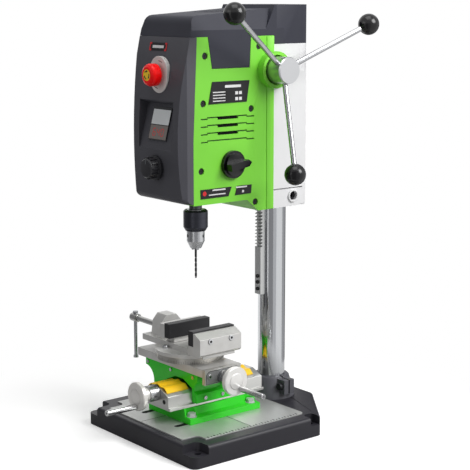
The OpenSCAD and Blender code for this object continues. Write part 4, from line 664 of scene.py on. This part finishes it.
# engraved ticks round the swivel and the two screw collars: radial bars along the axis, every fifth longer
tickDetail = {
    "swivelTicks": {"node": "swivel_base", "body": "table_unit", "axis": 2, "count": 120, "radius": 46.0,
                    "start": 102.9, "long": 4.6, "short": 3.0},
    "lowerTicks": {"node": "lower_screw", "body": "lower_wheel", "axis": 1, "count": 40, "radius": 11.0,
                   "start": -111.2, "long": -6.0, "short": -4.0},
    "upperTicks": {"node": "upper_screw", "body": "upper_wheel", "axis": 0, "count": 40, "radius": 10.0,
                   "start": 59.2, "long": 5.0, "short": 3.4},
}
tickHalf = {"wideMm": 0.16, "liftMm": 0.06, "every": 5}
for name, tick in tickDetail.items():
    along = np.eye(3)[tick["axis"]]
    side = np.roll(along, 1)
    other = np.cross(along, side)
    turn = 2 * np.pi * np.arange(tick["count"]) / tick["count"]
    outward = np.cos(turn)[:, None] * side + np.sin(turn)[:, None] * other
    around = np.cos(turn)[:, None] * other - np.sin(turn)[:, None] * side
    isLong = np.arange(tick["count"]) % tickHalf["every"] == 0
    length = np.where(isLong, tick["long"], tick["short"])[:, None]
    axisPoint = middleOf(tick["node"]) * (1 - along)
    centres = axisPoint + outward * tick["radius"] * mm + along * (tick["start"] + length / 2) * mm
    points, faces = tiles(centres, along * length / 2 * mm, around * tickHalf["wideMm"] * mm,
                          outward * tickHalf["liftMm"] * mm)
    addPiece(name, points, faces, darkInkAndSocketShade, tick["body"])

# cover plate on the table's end: a rounded outline, raised with a small slope, and a dark line round it
coverDetail = {"x": 58.0, "y": (-70.0, -14.0), "z": (83.0, 99.8), "corner": 7.0, "lift": 0.45, "sunk": 0.1,
               "slope": 0.985, "cornerSteps": 9, "grooveOut": 0.45, "grooveWide": 0.55, "grooveSteps": 8}
y0, y1 = coverDetail["y"]
z0, z1 = coverDetail["z"]
c = coverDetail["corner"]
arc = np.radians(np.linspace(0, 90, coverDetail["cornerSteps"]))
outline = np.concatenate([
    np.array([(y0, z0), (y1, z0)]),
    np.stack([y1 - c + c * np.cos(arc), z1 - c + c * np.sin(arc)], -1),
    np.stack([y0 + c - c * np.sin(arc), z1 - c + c * np.cos(arc)], -1)])
centre = outline.mean(0)
lift = coverDetail["lift"]
sunk = coverDetail["sunk"]
rings = [(0.0, -sunk), (1.0, -sunk), (1.0, lift * 0.4), (coverDetail["slope"], lift), (0.0, lift)]
points = np.stack([np.column_stack([np.full(len(outline), coverDetail["x"] + out),
                                    centre + (outline - centre) * grow]) for grow, out in rings]) * mm
faces = gridFaces(len(rings), len(outline), closeColumns=True)
hammeredPaint = castMetal("hammeredGreyPaint", "#8A8B8B", "#777878", 0.38, 1.6, 0.9, 0.3)
addPiece("endCover", points, faces, hammeredPaint, "table_unit", slot=slotOfNode["table_end"])
around = np.roll(outline, -1, 0) - np.roll(outline, 1, 0)
normal = np.stack([around[:, 1], -around[:, 0]], -1) / np.linalg.norm(around, axis=1)[:, None]
steps = coverDetail["grooveSteps"]
ringTurn = np.linspace(0, 2 * np.pi, steps, endpoint=False)[None, :, None]
grooveX = np.full((len(outline), steps, 1), coverDetail["x"]) + coverDetail["grooveOut"] * np.sin(ringTurn)
across = outline[:, None, :] + coverDetail["grooveWide"] * np.cos(ringTurn) * normal[:, None, :]
points = np.concatenate([grooveX, across], -1) * mm
addPiece("endCoverGroove", points, gridFaces(len(outline), steps, True, True), darkInkAndSocketShade, "table_unit", True)

# caps over the screws' ends in the two handwheels: low domes
capDetail = {"radiusMm": 11.0, "riseMm": 0.9, "sunkMm": 1.0, "rimShare": 0.35, "underMm": 0.2, "steps": 9}
r, h = capDetail["radiusMm"], capDetail["riseMm"]
swell = np.linspace(0, 1, capDetail["steps"])
rimShare = capDetail["rimShare"]
dome = np.column_stack([r * (1 - swell), rimShare * h + (1 - rimShare) * h * (1 - (1 - swell) ** 2)])
capProfile = np.concatenate([[(0, -capDetail["underMm"]), (r, -capDetail["underMm"])], dome]) * mm
upperFace = np.array([boxOf("upper_screw")[1][0] + capDetail["sunkMm"] * mm, upperAxis[1], upperAxis[2]])
lowerFace = np.array([lowerAxis[0], boxOf("lower_screw")[0][1] - capDetail["sunkMm"] * mm, lowerAxis[2]])
addPiece("upperWheelCap", *lathe(capProfile, upperFace, (1, 0, 0)), slotMaterials["wheel_alloy"],
         "upper_wheel", True)
addPiece("lowerWheelCap", *lathe(capProfile, lowerFace, (0, -1, 0)), ownMaterials["lower_handwheel"],
         "lower_wheel", True)

# screws: a turned head with a chamfer, and in it a six-sided socket of painted shade, a dark prism where the
# recess falls in shade
gripScrewMm = 1.3
lowerEnd = np.array([lowerGripAxis[0], boxOf("lower_grip")[0][1] + gripScrewMm * mm, lowerGripAxis[2]]) / mm
upperEnd = np.array([boxOf("upper_grip")[1][0] - gripScrewMm * mm, upperGripAxis[1], upperGripAxis[2]]) / mm
jawFaceX = boxOf("fixed_jaw_plate")[1][0] / mm - 0.4
screwDetail = {
    "endScrews": {"at": [(58.4, -64.7, 93.0), (58.4, -19.3, 93.0)], "way": (1, 0, 0), "radius": 3.2,
                  "height": 1.6, "head": steelScrew, "body": "table_unit"},
    "bedScrews": {"at": [(19.0, -110.0, 58.0), (-19.0, -110.0, 58.0)], "way": (0, -1, 0), "radius": 3.0,
                  "height": 0.5, "head": socketBlack, "body": "frame"},
    "jawSockets": {"at": [(jawFaceX, -59.25, 138.6), (jawFaceX, -24.75, 138.6)], "way": (1, 0, 0),
                   "radius": 3.6, "height": 0.8, "head": ownMaterials["slide_bolts"], "body": "vise"},
    "lowerGripEnd": {"at": [lowerEnd], "way": (0, -1, 0), "radius": 2.1, "height": 0.9, "head": steelScrew,
                     "body": "lower_wheel"},
    "upperGripEnd": {"at": [upperEnd], "way": (1, 0, 0), "radius": 2.1, "height": 0.9, "head": steelScrew,
                     "body": "upper_wheel"},
    "footBolts": {"at": [(-28.0, -73.2, 115.8), (-28.0, -10.8, 115.8)], "way": (0, 0, 1), "radius": 4.0,
                  "height": 3.2, "head": steelScrew, "body": "vise"},
}
for name, screw in screwDetail.items():
    r, h = screw["radius"], screw["height"]
    heads = []
    holes = []
    headFaces = []
    holeFaces = []
    for k, at in enumerate(screw["at"]):
        at = np.array(at, float) * mm
        headProfile = np.array([(0, -0.2), (r, -0.2), (r, 0.8 * h), (0.88 * r, h), (0.52 * r, h),
                                (0.5 * r, 0.3 * h), (0, 0.3 * h)]) * mm
        points, faces = lathe(headProfile, at, screw["way"], 36)
        heads.append(points)
        headFaces.append(faces + len(points) * k)
        # painted shade: a dark six-sided prism in place of the socket's shaded recess
        holeProfile = np.array([(0, 0.1 * h), (0.5 * r, 0.1 * h), (0.5 * r, h + 0.03), (0, h + 0.03)]) * mm
        points, faces = lathe(holeProfile, at, screw["way"], 6)
        holes.append(points)
        holeFaces.append(faces + len(points) * k)
    addPiece(name, np.concatenate(heads), np.concatenate(headFaces), screw["head"], screw["body"])
    addPiece(name + "HexShade", np.concatenate(holes), np.concatenate(holeFaces), darkInkAndSocketShade, screw["body"])
print("details placed")


# camera at the photograph's viewing angle

viewSettings = {"place": (1.361, -1.077, 0.5842), "forward": (-0.7644, 0.6190, -0.1805), "lens": 100.34}
camera = bpy.data.objects.new("camera", bpy.data.cameras.new("camera"))
camera.data.lens = viewSettings["lens"]
camera.data.sensor_width = 36.0
camera.location = viewSettings["place"]
camera.rotation_euler = Vector(viewSettings["forward"]).to_track_quat("-Z", "Y").to_euler()
bpy.context.scene.collection.objects.link(camera)
bpy.context.scene.camera = camera

# soft lamps: the key on the feed wheel's side, as in the photograph, and weak fill at the front

lampSettings = {
    "keyLamp": {"place": (1.43, 0.6, 1.4), "aim": (0.0, 0.0, 0.3), "size": 1.0, "power": 36.0},
    "frontLamp": {"place": (-0.3, -1.8, 0.9), "aim": (0.0, 0.0, 0.3), "size": 1.2, "power": 5.0},
    "topLamp": {"place": (0.3, -0.2, 2.1), "aim": (0.0, 0.0, 0.3), "size": 1.2, "power": 12.0},
}
for name, lamp in lampSettings.items():
    light = bpy.data.lights.new(name, "AREA")
    light.size = lamp["size"]
    light.energy = lamp["power"]
    holder = bpy.data.objects.new(name, light)
    holder.location = lamp["place"]
    aim = Vector(lamp["aim"]) - Vector(lamp["place"])
    holder.rotation_euler = aim.to_track_quat("-Z", "Y").to_euler()
    bpy.context.scene.collection.objects.link(holder)

# white surround: white to the camera and in reflections, a lower level as fill light
world = bpy.data.worlds.new("studio")
bpy.context.scene.world = world
world.use_nodes = True
sky = world.node_tree
sky.nodes.clear()
path = addNode(sky, "ShaderNodeLightPath")
seen = addNode(sky, "ShaderNodeMath", {"operation": "MAXIMUM"},
               {0: path.outputs["Is Camera Ray"], 1: path.outputs["Is Glossy Ray"]})
shown = addNode(sky, "ShaderNodeMath", {"operation": "MAXIMUM"},
                {0: seen.outputs["Value"], 1: path.outputs["Is Transmission Ray"]})
level = addNode(sky, "ShaderNodeMapRange", {"To Min": 0.26, "To Max": 1.0},
                {"Value": shown.outputs["Value"]})
backdrop = addNode(sky, "ShaderNodeBackground", {"Color": (1.0, 1.0, 1.0, 1.0)},
                   {"Strength": level.outputs["Result"]})
addNode(sky, "ShaderNodeOutputWorld", None, {"Surface": backdrop.outputs["Background"]})

# pale floor that keeps the shadow near the object and runs out to white further off
floorSettings = {"colour": "#F6F6F6", "bounce": "#9A9A9A", "shadowReach": 0.2, "whiteFrom": 0.42,
                 "reach": 6.0, "lift": 0.3, "level": -0.0005}
floorMaterial, floorTree, floorShader = newMaterial("paleStudioFloor", {"Roughness": 0.8})
ray = addNode(floorTree, "ShaderNodeLightPath")
floorTone = addNode(floorTree, "ShaderNodeMix",
                    {"data_type": "RGBA", 6: linear(floorSettings["bounce"]),
                     7: linear(floorSettings["colour"])}, {0: ray.outputs["Is Camera Ray"]})
floorTree.links.new(floorTone.outputs[2], floorShader.inputs["Base Color"])
rayShown = addNode(floorTree, "ShaderNodeMath", {"operation": "MAXIMUM"},
                   {0: ray.outputs["Is Camera Ray"], 1: ray.outputs["Is Glossy Ray"]})
floorPlace = addNode(floorTree, "ShaderNodeTexCoord")
away = addNode(floorTree, "ShaderNodeVectorMath", {"operation": "LENGTH"},
               {0: floorPlace.outputs["Object"]})
fade = addNode(floorTree, "ShaderNodeMapRange",
               {"interpolation_type": "SMOOTHSTEP", "From Min": floorSettings["shadowReach"],
                "From Max": floorSettings["whiteFrom"]}, {"Value": away.outputs["Value"]})
share = addNode(floorTree, "ShaderNodeMath", {"operation": "MULTIPLY"},
                {0: fade.outputs["Result"], 1: rayShown.outputs["Value"]})
white = addNode(floorTree, "ShaderNodeEmission", {"Color": (1.0, 1.0, 1.0, 1.0), "Strength": 1.0})
blend = addNode(floorTree, "ShaderNodeMixShader", None,
                {0: share.outputs["Value"], 1: floorShader.outputs["BSDF"], 2: white.outputs["Emission"]})
floorTree.links.new(blend.outputs["Shader"], floorTree.nodes["Material Output"].inputs["Surface"])
lift = addNode(floorTree, "ShaderNodeMath", {"operation": "MULTIPLY", 1: floorSettings["lift"]},
               {0: ray.outputs["Is Camera Ray"]})
floorShader.inputs["Emission Color"].default_value = (1.0, 1.0, 1.0, 1.0)
floorTree.links.new(lift.outputs["Value"], floorShader.inputs["Emission Strength"])
reach = floorSettings["reach"]
level = floorSettings["level"]
floorMesh = bpy.data.meshes.new("studioFloor")
floorMesh.from_pydata([(-reach, -reach, level), (reach, -reach, level), (reach, reach, level),
                       (-reach, reach, level)], [], [(0, 1, 2, 3)])
floorMesh.materials.append(floorMaterial)
floor = bpy.data.objects.new("studioFloor", floorMesh)
bpy.context.scene.collection.objects.link(floor)

# glowing grey flags round the object, seen only in reflections: painted reflections that give polished metal
# its bands
flagSettings = {
    "leftFlag": {"from": -165, "to": -115, "colour": "#8A8A8C"},
    "frontFlag": {"from": -115, "to": -74, "colour": "#6A6A6C"},
    "sideFlag": {"from": -63, "to": -16, "colour": "#9A9A9C"},
    "middleFlag": {"from": -16, "to": 12, "colour": "#D0D0D2"},
    "farFlag": {"from": 64, "to": 96, "colour": "#B4B4B6"},
    "rearFlag": {"from": 96, "to": 122, "colour": "#5A5A5C"},
}
flagDetail = {"radius": 0.36, "height": 0.62, "columns": 13}
for name, flag in flagSettings.items():
    # upright arc of a cylinder about the object
    turn = np.radians(np.linspace(flag["from"], flag["to"], flagDetail["columns"]))
    arc = flagDetail["radius"] * np.stack([np.cos(turn), np.sin(turn), np.zeros(len(turn))], -1)
    points = np.concatenate([arc, arc + (0.0, 0.0, flagDetail["height"])])
    # painted reflection: each flag glows with its own grey, unlit, and shows only in reflections
    reflectionGlow = newMaterial(name + "Cloth", {"Base Color": (0.0, 0.0, 0.0, 1.0), "Specular IOR Level": 0.0,
                                         "Emission Color": linear(flag["colour"]),
                                         "Emission Strength": 1.0})[0]
    mesh = bpy.data.meshes.new(name)
    mesh.from_pydata(points.tolist(), [], gridFaces(2, len(turn)).tolist())
    mesh.materials.append(reflectionGlow)
    card = bpy.data.objects.new(name, mesh)
    bpy.context.scene.collection.objects.link(card)
    card.visible_camera = False
    card.visible_diffuse = False
    card.visible_shadow = False
    card.visible_transmission = False
bpy.context.scene.view_settings.view_transform = "Standard"
print("camera, lamps, floor and flags placed")
